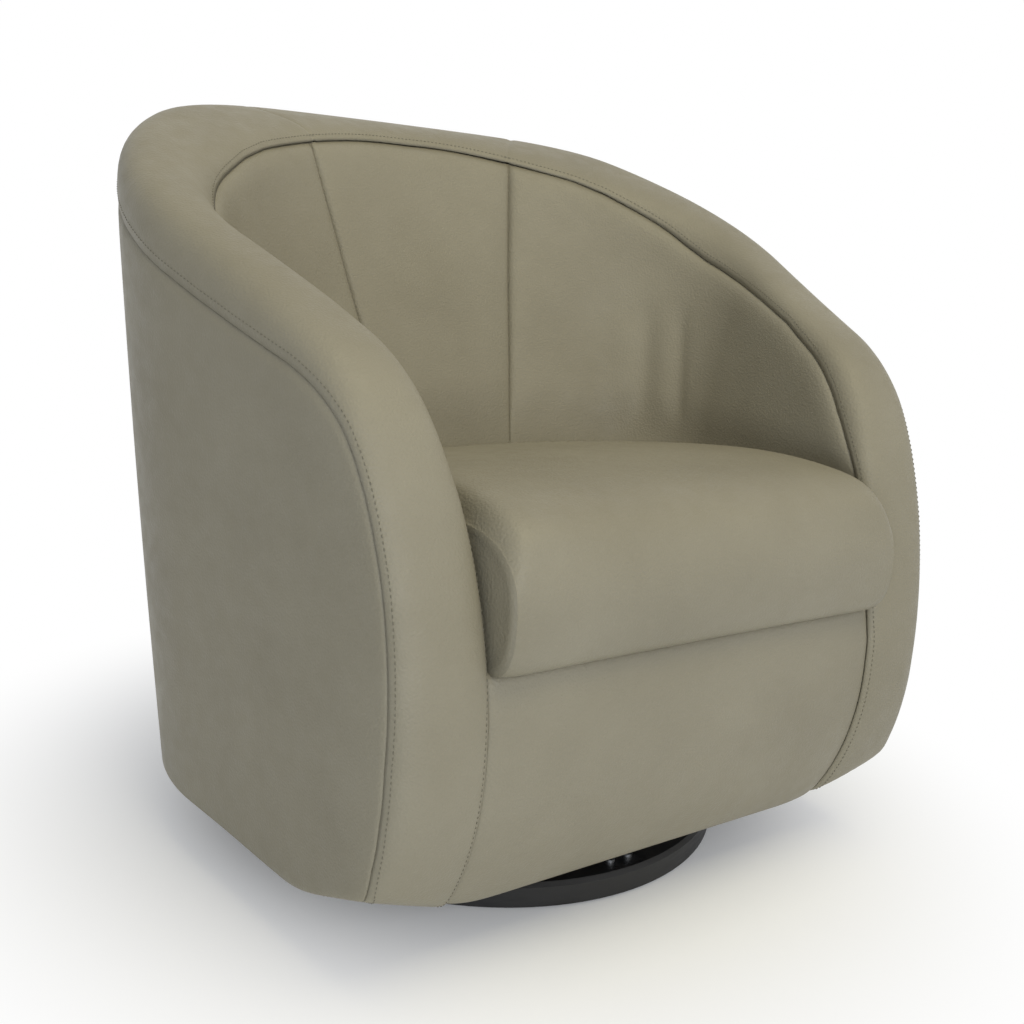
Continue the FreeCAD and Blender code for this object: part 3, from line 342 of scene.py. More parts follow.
def noise(tree, vector, scale, detail=3.0, roughness=0.5):
    node = tree.nodes.new("ShaderNodeTexNoise")
    node.inputs["Scale"].default_value = scale
    node.inputs["Detail"].default_value = detail
    node.inputs["Roughness"].default_value = roughness
    tree.links.new(vector, node.inputs["Vector"])
    return node.outputs["Fac"]


def ramp(tree, factor, stops):
    node = tree.nodes.new("ShaderNodeValToRGB")
    elements = node.color_ramp.elements
    while len(elements) < len(stops):
        elements.new(0.5)
    for element, (place, colour) in zip(elements, stops):
        element.position = place
        element.color = (*colour, 1.0)
    tree.links.new(factor, node.inputs["Fac"])
    return node.outputs["Color"]


def combine(tree, operation, first, second):
    node = tree.nodes.new("ShaderNodeMath")
    node.operation = operation
    tree.links.new(first, node.inputs[0])
    tree.links.new(second, node.inputs[1])
    return node.outputs["Value"]


def spread(tree, factor, low, high):
    """Spreads the middle of a noise over a range."""
    node = tree.nodes.new("ShaderNodeMapRange")
    node.inputs["From Min"].default_value = 0.3
    node.inputs["From Max"].default_value = 0.7
    node.inputs["To Min"].default_value = low
    node.inputs["To Max"].default_value = high
    tree.links.new(factor, node.inputs["Value"])
    return node.outputs["Result"]


def bump(tree, height, strength, distance, below=None):
    node = tree.nodes.new("ShaderNodeBump")
    node.inputs["Strength"].default_value = strength
    node.inputs["Distance"].default_value = distance
    tree.links.new(height, node.inputs["Height"])
    if below is not None:
        tree.links.new(below, node.inputs["Normal"])
    return node.outputs["Normal"]


def srgb(*colour):
    """The linear form of an 8-bit colour."""
    return tuple(((c / 255 + 0.055) / 1.055) ** 2.4 if c > 10 else c / 255 / 12.92 for c in colour)


def leather_material(name):
    material, tree, shader, vector = node_material(name)
    patches = noise(tree, vector, 7.0, 4.0, 0.55)
    colour = ramp(tree, patches, [(0.30, srgb(134, 128, 111)), (0.70, srgb(143, 137, 120))])
    tree.links.new(colour, shader.inputs["Base Color"])
    tree.links.new(spread(tree, noise(tree, vector, 55.0), 0.44, 0.56), shader.inputs["Roughness"])
    cells = tree.nodes.new("ShaderNodeTexVoronoi")
    cells.feature = "SMOOTH_F1"
    cells.inputs["Scale"].default_value = 430.0
    cells.inputs["Smoothness"].default_value = 0.6
    tree.links.new(vector, cells.inputs["Vector"])
    pebbles = bump(tree, cells.outputs["Distance"], 0.40, 0.0010)
    creases = bump(tree, noise(tree, vector, 340.0, 3.0, 0.6), 0.12, 0.0006, pebbles)
    waves = bump(tree, noise(tree, vector, 16.0, 2.0), 0.12, 0.004, creases)
    tree.links.new(waves, shader.inputs["Normal"])
    shader.inputs["Specular IOR Level"].default_value = 0.28
    return material


def thread_material():
    material, tree, shader, vector = node_material("thread")
    twist = tree.nodes.new("ShaderNodeTexWave")
    twist.inputs["Scale"].default_value = 900.0
    tree.links.new(vector, twist.inputs["Vector"])
    stripes = [(0.0, srgb(92, 88, 74)), (1.0, srgb(122, 117, 100))]
    tree.links.new(ramp(tree, twist.outputs["Fac"], stripes), shader.inputs["Base Color"])
    tree.links.new(bump(tree, twist.outputs["Fac"], 0.4, 0.0002), shader.inputs["Normal"])
    shader.inputs["Roughness"].default_value = 0.6
    return material


def plain_material(name, dark, light, rough, scale, grain, metallic=0.0, stretch=(1, 1, 1)):
    material, tree, shader, vector = node_material(name)
    mapping = tree.nodes.new("ShaderNodeMapping")
    mapping.inputs["Scale"].default_value = stretch
    tree.links.new(vector, mapping.inputs["Vector"])
    pattern = noise(tree, mapping.outputs["Vector"], scale, 5.0, 0.6)
    tree.links.new(ramp(tree, pattern, [(0.3, dark), (0.7, light)]), shader.inputs["Base Color"])
    tree.links.new(spread(tree, pattern, rough[0], rough[1]), shader.inputs["Roughness"])
    tree.links.new(bump(tree, pattern, 0.3, grain), shader.inputs["Normal"])
    shader.inputs["Metallic"].default_value = metallic
    return material


def cloth_material(name, dark, light, threads):
    material, tree, shader, vector = node_material(name)
    heights = []
    for direction in ("X", "Y"):
        wave = tree.nodes.new("ShaderNodeTexWave")
        wave.bands_direction = direction
        wave.inputs["Scale"].default_value = threads
        wave.inputs["Distortion"].default_value = 1.5
        wave.inputs["Detail"].default_value = 1.0
        tree.links.new(vector, wave.inputs["Vector"])
        heights.append(wave.outputs["Fac"])
    weave = combine(tree, "MULTIPLY", *heights)
    tree.links.new(ramp(tree, weave, [(0.0, dark), (1.0, light)]), shader.inputs["Base Color"])
    tree.links.new(bump(tree, weave, 0.5, 0.0004), shader.inputs["Normal"])
    tree.links.new(spread(tree, noise(tree, vector, 40.0), 0.8, 0.95), shader.inputs["Roughness"])
    return material


LEATHER = leather_material("leather")
THREAD = thread_material()
FELT = cloth_material("deck_cloth", srgb(38, 37, 35), srgb(58, 56, 52), 220.0)
DUST = cloth_material("dust_cloth", srgb(14, 14, 14), srgb(30, 30, 30), 300.0)
WEBBING = cloth_material("webbing", srgb(96, 78, 52), srgb(140, 118, 84), 160.0)
BLACK_WOOD = plain_material("black_wood", srgb(13, 13, 13), srgb(26, 25, 24),
                            (0.42, 0.60), 30.0, 0.0004, stretch=(1, 1, 6))
FRAME_WOOD = plain_material("frame_wood", srgb(150, 114, 72), srgb(190, 152, 104),
                            (0.55, 0.75), 18.0, 0.0005, stretch=(0.2, 1, 1))
ZINC = plain_material("zinc_steel", (0.42, 0.43, 0.44), (0.60, 0.61, 0.62),
                      (0.28, 0.45), 60.0, 0.0001, 1.0)
BLACK_STEEL = plain_material("black_steel", srgb(16, 16, 17), srgb(30, 30, 31),
                             (0.35, 0.5), 90.0, 0.0002)
BALL_STEEL = plain_material("ball_steel", (0.52, 0.53, 0.55), (0.66, 0.67, 0.69),
                            (0.10, 0.18), 80.0, 0.00002, 1.0)
NYLON = plain_material("nylon", srgb(26, 26, 26), srgb(40, 40, 40), (0.35, 0.5), 70.0, 0.0001)
FOAM = plain_material("foam", srgb(206, 192, 150), srgb(226, 214, 178), (0.85, 0.95), 400.0, 0.0006)
FINISHES = {"leather": LEATHER, "black_wood": BLACK_WOOD, "frame_wood": FRAME_WOOD,
            "zinc_steel": ZINC, "black_steel": BLACK_STEEL, "ball_steel": BALL_STEEL,
            "nylon": NYLON, "foam": FOAM, "deck_felt": FELT, "webbing": WEBBING,
            "dust_cloth": DUST}


# Stitches

STITCH_SPACING = 0.0052
STITCH_LENGTH = 0.0036
THREAD_RADIUS = 0.00042
STITCH_STEPS = 5
STITCH_SIDES = 6


def resample(line, normals, spacing):
    """A line and its normals, both at an even spacing along the line."""
    run = run_along(line)
    marks = np.linspace(0, run[-1], max(int(round(run[-1] / spacing)), 2) + 1)
    return [np.stack([np.interp(marks, run, table[:, i]) for i in range(3)], axis=1)
            for table in (line, normals)]


def stitches(name, line, normals, body):
    """A row of sewn stitches, each a short round thread that dips into the leather at its ends."""
    points, ups = resample(line, normals, STITCH_SPACING)
    ups = unit(ups)
    tangents = unit(np.gradient(points, axis=0))
    verts, faces = [], []
    for point, up, tangent in zip(points, ups, tangents):
        across = np.cross(tangent, up)
        base = len(verts)
        for t in np.linspace(-1, 1, STITCH_STEPS):
            thick = THREAD_RADIUS * (1 - 0.75 * t ** 4)
            rise = THREAD_RADIUS * (0.9 - 1.7 * t ** 2)
            centre = point + tangent * (t * STITCH_LENGTH / 2) + up * rise
            for k in range(STITCH_SIDES):
                a = 2 * math.pi * k / STITCH_SIDES
                verts.append(centre + across * thick * math.cos(a) + up * thick * math.sin(a))
        for i in range(STITCH_STEPS - 1):
            ring = base + i * STITCH_SIDES
            for k in range(STITCH_SIDES):
                a, b = ring + k, ring + (k + 1) % STITCH_SIDES
                faces.append((a, b, b + STITCH_SIDES, a + STITCH_SIDES))
    new_object(name, verts, faces, THREAD, body)


# The rise of the underside at the lower front corners

CORNER_X = 0.337
CORNER_LIFT = 0.045
LIFT_SIDE = 0.104
LIFT_FRONT = 0.124
LIFT_ROUND = 0.010


def lift_corners(points):
    """Presses everything below the two sloping corner planes up to them, with a soft edge."""
    points = np.array(points, float)
    for side in (-1, 1):
        raised = np.array((side * CORNER_X, GAUGE_Y, FLOOR_GAP + CORNER_LIFT))
        along_side = np.array((side * CORNER_X, GAUGE_Y + LIFT_SIDE, FLOOR_GAP))
        along_front = np.array((side * (CORNER_X - LIFT_FRONT), GAUGE_Y, FLOOR_GAP))
        down = np.cross(along_side - raised, along_front - raised)
        down = unit(down if down[2] < 0 else -down)
        below = (points - raised) @ down
        eased = np.clip(below + LIFT_ROUND, 0, None) ** 2 / (4 * LIFT_ROUND)
        press = np.where(below > LIFT_ROUND, below, eased)
        points = points - press[..., None] * down
    return points


# The band over the arms and the back

SECTION = 15
ROUND = 2.7
CURL = 0.005
BUTT_WIDTH = 0.0035
BUTT_DEPTH = 0.0013
TOPSTITCH = 0.0080


def band_section(k):
    """The points across the band at one station, from the outer seam over to the inner seam."""
    across = (INNER_EDGE[k] - OUTER_EDGE[k]) / 2
    rise_out = OUTER_EDGE[k] - OUTER_SEAM[k]
    rise_in = INNER_EDGE[k] - INNER_SEAM[k]
    angles = np.linspace(0, math.pi / 2, SECTION + 1)
    over = 1 - np.cos(angles) ** (2 / ROUND)
    up = np.sin(angles) ** (2 / ROUND)
    outer = OUTER_SEAM[k] + over[:, None] * across + up[:, None] * rise_out
    inner = INNER_SEAM[k] - over[:, None] * across + up[:, None] * rise_in
    return np.concatenate([outer, inner[::-1][1:]])


def band_grid():
    grid = np.array([band_section(k) for k in range(COUNT)])
    across = unit(INNER_EDGE - OUTER_EDGE)[:, None, :]
    first = grid[:, :1] + across * CURL
    last = grid[:, -1:] - across * CURL
    return lift_corners(np.concatenate([first, grid, last], axis=1))


def seam_station():
    """The station where the back seam of the inside meets the inner seam, on the right half."""
    return max(k for k in range(COUNT // 2, COUNT) if INNER_SEAM[k, 0] < seam_x(INNER_SEAM[k, 2]))


def make_bands():
    grid = band_grid()
    normals = grid_normals(grid)
    if normals[COUNT // 2, SECTION, 2] < 0:
        normals = -normals
    right = seam_station()
    left = COUNT - 1 - right
    lengths = (("band_left", 0, left), ("band_back", left, right), ("band_right", right, COUNT - 1))
    for name, start, end in lengths:
        part = grid[start:end + 1].copy()
        run = run_along(part[:, SECTION])
        dip = np.zeros(len(run))
        if start:
            dip += np.exp(-(run / BUTT_WIDTH) ** 2)
        if end < COUNT - 1:
            dip += np.exp(-((run[-1] - run) / BUTT_WIDTH) ** 2)
        part -= normals[start:end + 1] * (BUTT_DEPTH * dip)[:, None, None]
        obj = grid_object(name + "_leather", part, LEATHER, "tub", flip=True)
        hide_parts(name)
    return grid, normals


def inset_line(grid, normals, distance, from_inner):
    """The line on the band that runs the distance from a seam, with its normals."""
    points, ups = [], []
    for section, normal in zip(grid, normals):
        row, up = section[1:-1], normal[1:-1]
        if from_inner:
            row, up = row[::-1], up[::-1]
        run = run_along(row)
        points.append([np.interp(distance, run, row[:, i]) for i in range(3)])
        ups.append([np.interp(distance, run, up[:, i]) for i in range(3)])
    return np.array(points), np.array(ups)


# The outside cover

COVER_ROWS = 40
COVER_ROUND = 0.013
COVER_PUFF = 0.0030
SEAM_DIP = 0.0016
SEAM_SHARE = 0.02
UNDER_ROWS = 4
UNDER_STEP = 0.008


def outside_half():
    """Columns from the outer seam down to the foot, on the right half."""
    start = int(np.argmax(ARM_RUNS > LOW_RUN))
    arm = len(ARM_RUNS)
    first_y = OUTER_HALF[start, 1]
    run = run_along(OUTER_HALF[start:arm])
    grid = []
    for k in range(start, HALF_COUNT):
        _, seam_y, seam_z = OUTER_HALF[k]
        column = []
        for share in np.linspace(0, 1, COVER_ROWS):
            z = seam_z + (FLOOR_GAP - seam_z) * share
            if k < arm:
                foot_y = first_y + (HUB_Y - first_y) * run[k - start] / run[-1]
                y = seam_y + (foot_y - seam_y) * share
                column.append((half_width(OUTSIDE, y, z), y, z))
            else:
                column.append((*on_ray(OUTSIDE, BACK_ANGLES[k - arm], z), z))
        grid.append(column)
    return np.array(grid)


def wall_out(wall, grid):
    """Level directions that point out of a wall."""
    out = np.zeros_like(grid)
    for index in np.ndindex(grid.shape[:2]):
        x, y, z = grid[index]
        marks = plan_marks(wall, z)
        if y <= marks["touch_y"]:
            direction = (1.0, -marks["lean"])
        else:
            cx, cy, _ = marks["back"] if abs(x) <= marks["joint"][0] else marks["corner"]
            direction = (abs(x) - cx, y - cy)
        out[index] = (math.copysign(direction[0], x), direction[1], 0.0)
    return unit(out)


def make_outside():
    full = both_sides(outside_half())
    out = wall_out(OUTSIDE, full)
    share = np.linspace(0, 1, COVER_ROWS)
    puff = COVER_PUFF * np.sin(np.pi * np.clip(share * 0.9 + 0.1, 0, 1))
    puff -= SEAM_DIP * np.exp(-(share / SEAM_SHARE) ** 2)
    below = np.clip(FLOOR_GAP + COVER_ROUND - full[..., 2], 0, COVER_ROUND)
    tuck = COVER_ROUND - np.sqrt(COVER_ROUND ** 2 - below ** 2)
    shaped = full + out * (puff[None, :] - tuck)[..., None]
    rows = [shaped[:, :1] - out[:, :1] * CURL, shaped]
    for _ in range(UNDER_ROWS):
        rows.append(rows[-1][:, -1:] - out[:, -1:] * UNDER_STEP)
    grid = lift_corners(np.concatenate(rows, axis=1))
    obj = grid_object("outside_cover", grid, LEATHER, "tub")
    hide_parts("outside_left", "outside_back", "outside_right")


# The inside pads

PAD_ROWS = 46
PAD_COLUMNS = 30
PAD_TUCK = 0.030
PAD_ABOVE = 0.002
# First guesses at the height of the inner seam over a pad, and the passes that settle it
BACK_GUESS = 0.72
SIDE_GUESS = 0.70
TOP_PASSES = 20
# A row of a pad that shows which way its normals point
TEST_ROW = 5
# How far the covers stand out and waver, and how far from their seams they reach that
PAD_DRAW = 0.007
PAD_SINK = 0.002
PAD_WAVES = 0.0008
SEAM_REACH = 0.035
TOP_REACH = 0.03
# Where they flatten towards the seat, and by how much
FLAT_FROM = 0.46
FLAT_OVER = 0.06
FLAT_SHARE = 0.85


def inner_seam_height(angle):
    angles = np.concatenate([[0], BACK_ANGLES])
    return float(np.interp(angle, angles, INNER_HALF[len(ARM_RUNS) - 1:, 2]))


def seam_angle(z):
    x = seam_x(z)
    return math.atan2(back_reach(INSIDE, x, z) - HUB_Y, x)


def back_pad():
    """The pad between the two back seams, from the inner seam down to the deck."""
    columns = np.linspace(-1, 1, 2 * PAD_COLUMNS + 1)
    grid = []
    for u in columns:
        z_top = BACK_GUESS
        for _ in range(TOP_PASSES):
            x = u * seam_x(z_top)
            angle = math.atan2(back_reach(INSIDE, x, z_top) - HUB_Y, abs(x))
            z_top = inner_seam_height(angle)
        column = []
        for share in np.linspace(0, 1, PAD_ROWS):
            z = z_top + (DECK - z_top) * share
            x = u * seam_x(z)
            column.append((x, back_reach(INSIDE, x, z), z))
        grid.append(column)
    return np.array(grid)


def side_pad():
    """The right-hand inside pad: from the back seam round to the front of the arm."""
    grid = []
    for q in np.linspace(0, 1, PAD_COLUMNS, endpoint=False):
        z_top = SIDE_GUESS
        for _ in range(TOP_PASSES):
            z_top = inner_seam_height(seam_angle(z_top) * (1 - q))
        column = []
        for share in np.linspace(0, 1, PAD_ROWS):
            z = z_top + (DECK - z_top) * share
            column.append((*on_ray(INSIDE, seam_angle(z) * (1 - q), z), z))
        grid.append(column)
    arm = INNER_HALF[:len(ARM_RUNS)]
    first = int(np.argmax(arm[:, 2] > DECK + PAD_ABOVE))
    line = arm[first:]
    run = run_along(line)
    for k in range(len(line) - 1, -1, -1):
        foot_y = line[0, 1] + (HUB_Y - line[0, 1]) * run[k] / run[-1]
        column = []
        for share in np.linspace(0, 1, PAD_ROWS):
            y = line[k, 1] + (foot_y - line[k, 1]) * share
            z = line[k, 2] + (DECK - line[k, 2]) * share
            column.append((half_width(INSIDE, y, z), y, z))
        grid.append(column)
    return np.array(grid)


# Soft folds: the two ends (y, z) of each, its depth and its half width. They fade in and out over
# these shares of their length.
FOLD_IN = 0.3
FOLD_OUT = 0.25
RIGHT_FOLDS = [((0.153, 0.572), (0.118, 0.425), 0.0010, 0.007),
               ((0.147, 0.590), (0.097, 0.410), 0.0012, 0.006),
               ((0.132, 0.585), (0.085, 0.410), 0.0012, 0.006),
               ((0.097, 0.575), (0.045, 0.405), 0.0024, 0.0075),
               ((0.060, 0.578), (0.002, 0.410), 0.0026, 0.0080),
               ((0.112, 0.560), (0.066, 0.420), -0.0012, 0.008),
               ((0.078, 0.570), (0.024, 0.410), -0.0014, 0.008)]
LEFT_FOLDS = [((-0.002, 0.664), (-0.042, 0.606), 0.0013, 0.005),
              ((-0.018, 0.662), (-0.050, 0.618), 0.0012, 0.0045),
              ((0.030, 0.640), (-0.010, 0.560), 0.0008, 0.008)]


def folds(grid, lines):
    """How far the pad's cover sinks into its folds."""
    depth = np.zeros(grid.shape[:2])
    for (y0, z0), (y1, z1), deep, wide in lines:
        run = np.array((y1 - y0, z1 - z0))
        length = np.linalg.norm(run)
        run = run / length
        dy, dz = grid[..., 1] - y0, grid[..., 2] - z0
        along = (dy * run[0] + dz * run[1]) / length
        aside = dy * run[1] - dz * run[0]
        fade = smooth(along / FOLD_IN) * smooth((1 - along) / FOLD_OUT)
        depth += deep * fade * np.exp(-(aside / wide) ** 2)
    return depth


def unevenness(grid, size):
    """A slight hand-made waviness, the same every time."""
    x, y, z = grid[..., 0], grid[..., 1], grid[..., 2]
    waves = np.sin(23 * x + 11 * z + 1.3) + np.sin(17 * y - 29 * z + 0.4)
    return size * (waves + np.sin(41 * z + 19 * y - 31 * x)) / 3


def edge_distance(grid, axis, from_end=False):
    """The distance over a grid from its first or last row along one axis."""
    steps = np.linalg.norm(np.diff(grid, axis=axis), axis=2)
    zero = np.zeros_like(np.take(steps, [0], axis=axis))
    run = np.concatenate([zero, np.cumsum(steps, axis=axis)], axis=axis)
    if from_end:
        run = np.take(run, [-1], axis=axis) - run
    return run


def swell(distance, reach):
    """A quarter round that rises from 0 at a seam to 1 at the reach."""
    t = np.clip(distance / reach, 0, 1)
    return np.sqrt(1 - (1 - t) ** 2)


def pad_rise(grid, aside):
    """How far a pad's cover stands out, from its distance to the back seams."""
    fall = 1 - smooth((FLAT_FROM - grid[..., 2]) / FLAT_OVER) * FLAT_SHARE
    draw = PAD_DRAW * swell(aside, SEAM_REACH) * swell(edge_distance(grid, 1), TOP_REACH) * fall
    return draw - PAD_SINK + unevenness(grid, PAD_WAVES)


def make_inside():
    grid = back_pad()
    normals = grid_normals(grid)
    if normals[len(grid) // 2, TEST_ROW, 1] > 0:
        normals = -normals
    rise = pad_rise(grid, np.minimum(edge_distance(grid, 0), edge_distance(grid, 0, True)))
    add_pad("inside_back", grid + normals * rise[..., None], normals, False)
    side = side_pad()
    for name, sign, lines in (("inside_right", 1, RIGHT_FOLDS), ("inside_left", -1, LEFT_FOLDS)):
        grid = side * np.array((sign, 1, 1))
        normals = grid_normals(grid)
        if normals[len(grid) // 2, TEST_ROW, 0] * sign > 0:
            normals = -normals
        rise = pad_rise(grid, edge_distance(grid, 0)) - folds(grid, lines)
        add_pad(name, grid + normals * rise[..., None], normals, sign < 0)


def add_pad(name, surface, normals, flip):
    """A pad's cover with its edges curled in at the seams and tucked down behind the deck."""
    edge = surface[:, :1] - normals[:, :1] * CURL
    tucked = surface[:, -1:] - np.array((0, 0, PAD_TUCK))
    grid = np.concatenate([edge, surface, tucked], axis=1)
    ups = np.concatenate([normals[:, :1], normals, normals[:, -1:]], axis=1)
    first = grid[:1] - ups[:1] * CURL
    last = grid[-1:] - ups[-1:] * CURL
    grid = np.concatenate([first, grid, last], axis=0)
    obj = grid_object(name + "_leather", grid, LEATHER, "tub", flip)
    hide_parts(name)


# The front panel

FRONT_COLUMNS = 91
FRONT_ABOVE = 0.006
FRONT_CROWN = 0.006
CROWN_REACH = 0.25
FRONT_GAP = 0.0008
# How the upper edge turns back under the cushion, as steps in y and z
FRONT_LIP = ((0.006, 0.004), (0.020, 0.006), (0.06, 0.006))
# How far past the front of the arm the profile is searched
FRONT_SEARCH = 400


def profile_normal(y, z):
    near = PROFILE[:RISING + FRONT_SEARCH]
    return near[np.argmin((near[:, 0] - y) ** 2 + (near[:, 1] - z) ** 2), 2:4]


def make_front():
    half = INNER_HALF[:len(ARM_RUNS)]
    columns = np.sin(np.linspace(-math.pi / 2, math.pi / 2, FRONT_COLUMNS))
    crown = FRONT_CROWN * swell(1 - np.abs(columns), CROWN_REACH)
    grid = []
    for x, y, z in half[half[:, 2] < DECK + FRONT_ABOVE]:
        out_y, out_z = profile_normal(y, z)
        grid.append([(u * (x - FRONT_GAP), y + out_y * c, z + out_z * c)
                     for u, c in zip(columns, crown)])
    last = np.array(grid[-1])
    grid = np.array(grid + [last + np.array((0, dy, dz)) for dy, dz in FRONT_LIP])
    behind = np.array((0, CURL, 0))
    grid = np.concatenate([grid[:, :1] + behind, grid, grid[:, -1:] + behind], axis=1)
    grid = lift_corners(grid)
    obj = grid_object("front_panel_leather", grid, LEATHER, "tub", flip=True)
    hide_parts("front_panel")


# The seat cushion

CUSHION_HALF = 0.2385
END_BULGE = 0.005
CUSHION_LOW = 0.2905
# The side line of the cushion from under its nose to the back of its top, in its middle and at
# its ends
MIDDLE_LINE = [(-0.300, 0.2905), (-0.326, 0.2910), (-0.344, 0.2965), (-0.3535, 0.314),
               (-0.357, 0.338), (-0.3565, 0.364), (-0.350, 0.389), (-0.336, 0.413),
               (-0.310, 0.432), (-0.272, 0.4415), (-0.18, 0.4415), (-0.08, 0.430), (0.02, 0.413)]
END_LINE = [(-0.300, 0.2905), (-0.324, 0.2915), (-0.339, 0.298), (-0.3485, 0.314),
            (-0.3515, 0.335), (-0.350, 0.359), (-0.3445, 0.378), (-0.330, 0.394),
            (-0.308, 0.4045), (-0.278, 0.4085), (-0.18, 0.4065), (-0.08, 0.400), (0.02, 0.390)]
# The points of those lines that lie on top are moved so that the last is near the inside back
TOP_FROM = 9
TOP_BACK = 0.02
TOP_SHORT = 0.045
MIDDLE_BACK = 0.398
END_BACK = 0.380
BACK_LEVEL = 0.34
BACK_GAP = 0.005
CUSHION_COLUMNS = 84
CUSHION_LOOP = 176
CUSHION_BODY = CUSHION_COLUMNS * CUSHION_LOOP
END_RINGS = 14
END_ROUND = 0.45
# The cloth simulation that swells the cushion
CLOTH = {"quality": 6, "mass": 0.4, "tension_stiffness": 25, "compression_stiffness": 25,
         "shear_stiffness": 12, "bending_stiffness": 3, "use_pressure": True,
         "uniform_pressure_force": 4.0, "vertex_group_mass": "held"}
CLOTH_FRAMES = 20
HELD_ABOVE = 0.004
EVEN_PASSES = 12
RISE_CAP = 0.006
END_RISE = 0.002
# The stitches beside the end seams
SEAM_COLUMN = 6
SEWN_ABOVE = 0.006
SEWN_LIFT = 0.0005


def rounded_loop(points, passes=4):
    """A closed line with its corners cut again and again until it is smooth."""
    for _ in range(passes):
        after = np.roll(points, -1, axis=0)
        cut = [0.75 * points + 0.25 * after, 0.25 * points + 0.75 * after]
        points = np.stack(cut, axis=1).reshape(-1, 2)
    return points


def cushion_loop(u):
    """The side line of the cushion at one share of its half width, closed round its back."""
    x = u * CUSHION_HALF
    fall = 0.03 * u ** 2 + 0.97 * abs(u) ** 30
    back_y = back_reach(INSIDE, x, BACK_LEVEL) - BACK_GAP
    top = MIDDLE_BACK + (END_BACK - MIDDLE_BACK) * fall
    line = (1 - fall) * np.array(MIDDLE_LINE) + fall * np.array(END_LINE)
    behind = [(back_y - 0.016, top), (back_y, top - 0.008), (back_y, top - 0.03),
              (back_y, 0.320), (back_y, CUSHION_LOW + 0.004), (back_y - 0.01, CUSHION_LOW),
              (-0.1, CUSHION_LOW)]
    first = line[TOP_FROM, 0]
    reach = back_y - TOP_SHORT - first
    line[TOP_FROM:, 0] = first + (line[TOP_FROM:, 0] - first) * reach / (TOP_BACK - first)
    points = rounded_loop(np.concatenate([line, behind]))
    points = np.concatenate([points, points[:1]])
    run = run_along(points)
    marks = np.linspace(0, run[-1], CUSHION_LOOP, endpoint=False)
    y, z = (np.interp(marks, run, points[:, i]) for i in range(2))
    return np.stack([np.full(CUSHION_LOOP, x), y, z], axis=1)


def ring_faces(before, after, flip):
    """The faces between two loops of the cushion, from the first vertex of each."""
    faces = []
    for j in range(CUSHION_LOOP):
        k = (j + 1) % CUSHION_LOOP
        face = (before + j, before + k, after + k, after + j)
        faces.append(face[::-1] if flip else face)
    return faces


def make_cushion():
    """The loops across the cushion, closed at both ends by rings round a middle point."""
    shares = np.sin(np.linspace(-math.pi / 2, math.pi / 2, CUSHION_COLUMNS))
    loops = np.array([cushion_loop(u) for u in shares])
    verts = [loops.reshape(-1, 3)]
    faces = []
    for i in range(CUSHION_COLUMNS - 1):
        faces += ring_faces(i * CUSHION_LOOP, (i + 1) * CUSHION_LOOP, False)
    start = CUSHION_BODY
    for row, flip in ((0, True), (CUSHION_COLUMNS - 1, False)):
        ring = loops[row]
        middle = ring.mean(0)
        before = row * CUSHION_LOOP
        outward = math.copysign(1.0, ring[0, 0])
        for r in range(1, END_RINGS):
            share = r / END_RINGS
            level = middle + (ring - middle) * (1 - share)
            level[:, 0] += outward * END_BULGE * (1 - (1 - min(share / END_ROUND, 1.0)) ** 2)
            verts.append(level)
            faces += ring_faces(before, start, flip)
            before = start
            start += CUSHION_LOOP
        verts.append(middle[None, :] + np.array((outward * END_BULGE, 0, 0)))
        for j in range(CUSHION_LOOP):
            face = (before + j, before + (j + 1) % CUSHION_LOOP, start)
            faces.append(face[::-1] if flip else face)
        start += 1
    obj = new_object("seat_cushion", np.concatenate(verts), faces, LEATHER, "cushion")
    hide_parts("cushion_cover", "cushion_core")
    inflate(obj)
    return obj


def inflate(obj):
    """Swells the cushion as sewn leather over foam: the end seams and the face on the deck are
    held, and the simulated rise is evened and softly limited."""
    mesh = obj.data
    rest = np.array([v.co for v in mesh.vertices])
    held = rest[:, 2] < CUSHION_LOW + HELD_ABOVE
    held[:CUSHION_LOOP] = True
    held[CUSHION_BODY - CUSHION_LOOP:CUSHION_BODY] = True
    group = obj.vertex_groups.new(name="held")
    group.add(np.flatnonzero(held).tolist(), 1.0, "REPLACE")
    cloth = obj.modifiers.new("cloth", "CLOTH")
    for name, value in CLOTH.items():
        setattr(cloth.settings, name, value)
    cloth.settings.effector_weights.gravity = 0.0
    cloth.collision_settings.use_collision = False
    scene = bpy.context.scene
    for number in range(1, CLOTH_FRAMES + 1):
        scene.frame_set(number)
    shaped = obj.evaluated_get(bpy.context.evaluated_depsgraph_get()).data
    moved = np.array([v.co for v in shaped.vertices])
    obj.modifiers.remove(cloth)
    obj.vertex_groups.clear()
    scene.frame_set(1)
    normals = np.array([v.normal for v in mesh.vertices])
    rise = np.sum((moved - rest) * normals, axis=1)
    evened = rise[:CUSHION_BODY].reshape(CUSHION_COLUMNS, CUSHION_LOOP)
    for _ in range(EVEN_PASSES):
        inner = (evened[:-2] + 2 * evened[1:-1] + evened[2:]) / 4
        evened = np.concatenate([evened[:1], inner, evened[-1:]])
        evened = (np.roll(evened, 1, axis=1) + 2 * evened + np.roll(evened, -1, axis=1)) / 4
    rise[:CUSHION_BODY] = evened.ravel()
    rise[CUSHION_BODY:] = np.minimum(rise[CUSHION_BODY:], END_RISE)
    rise = RISE_CAP * np.tanh(rise / RISE_CAP)
    mesh.vertices.foreach_set("co", (rest + normals * rise[:, None]).ravel())
    mesh.update()


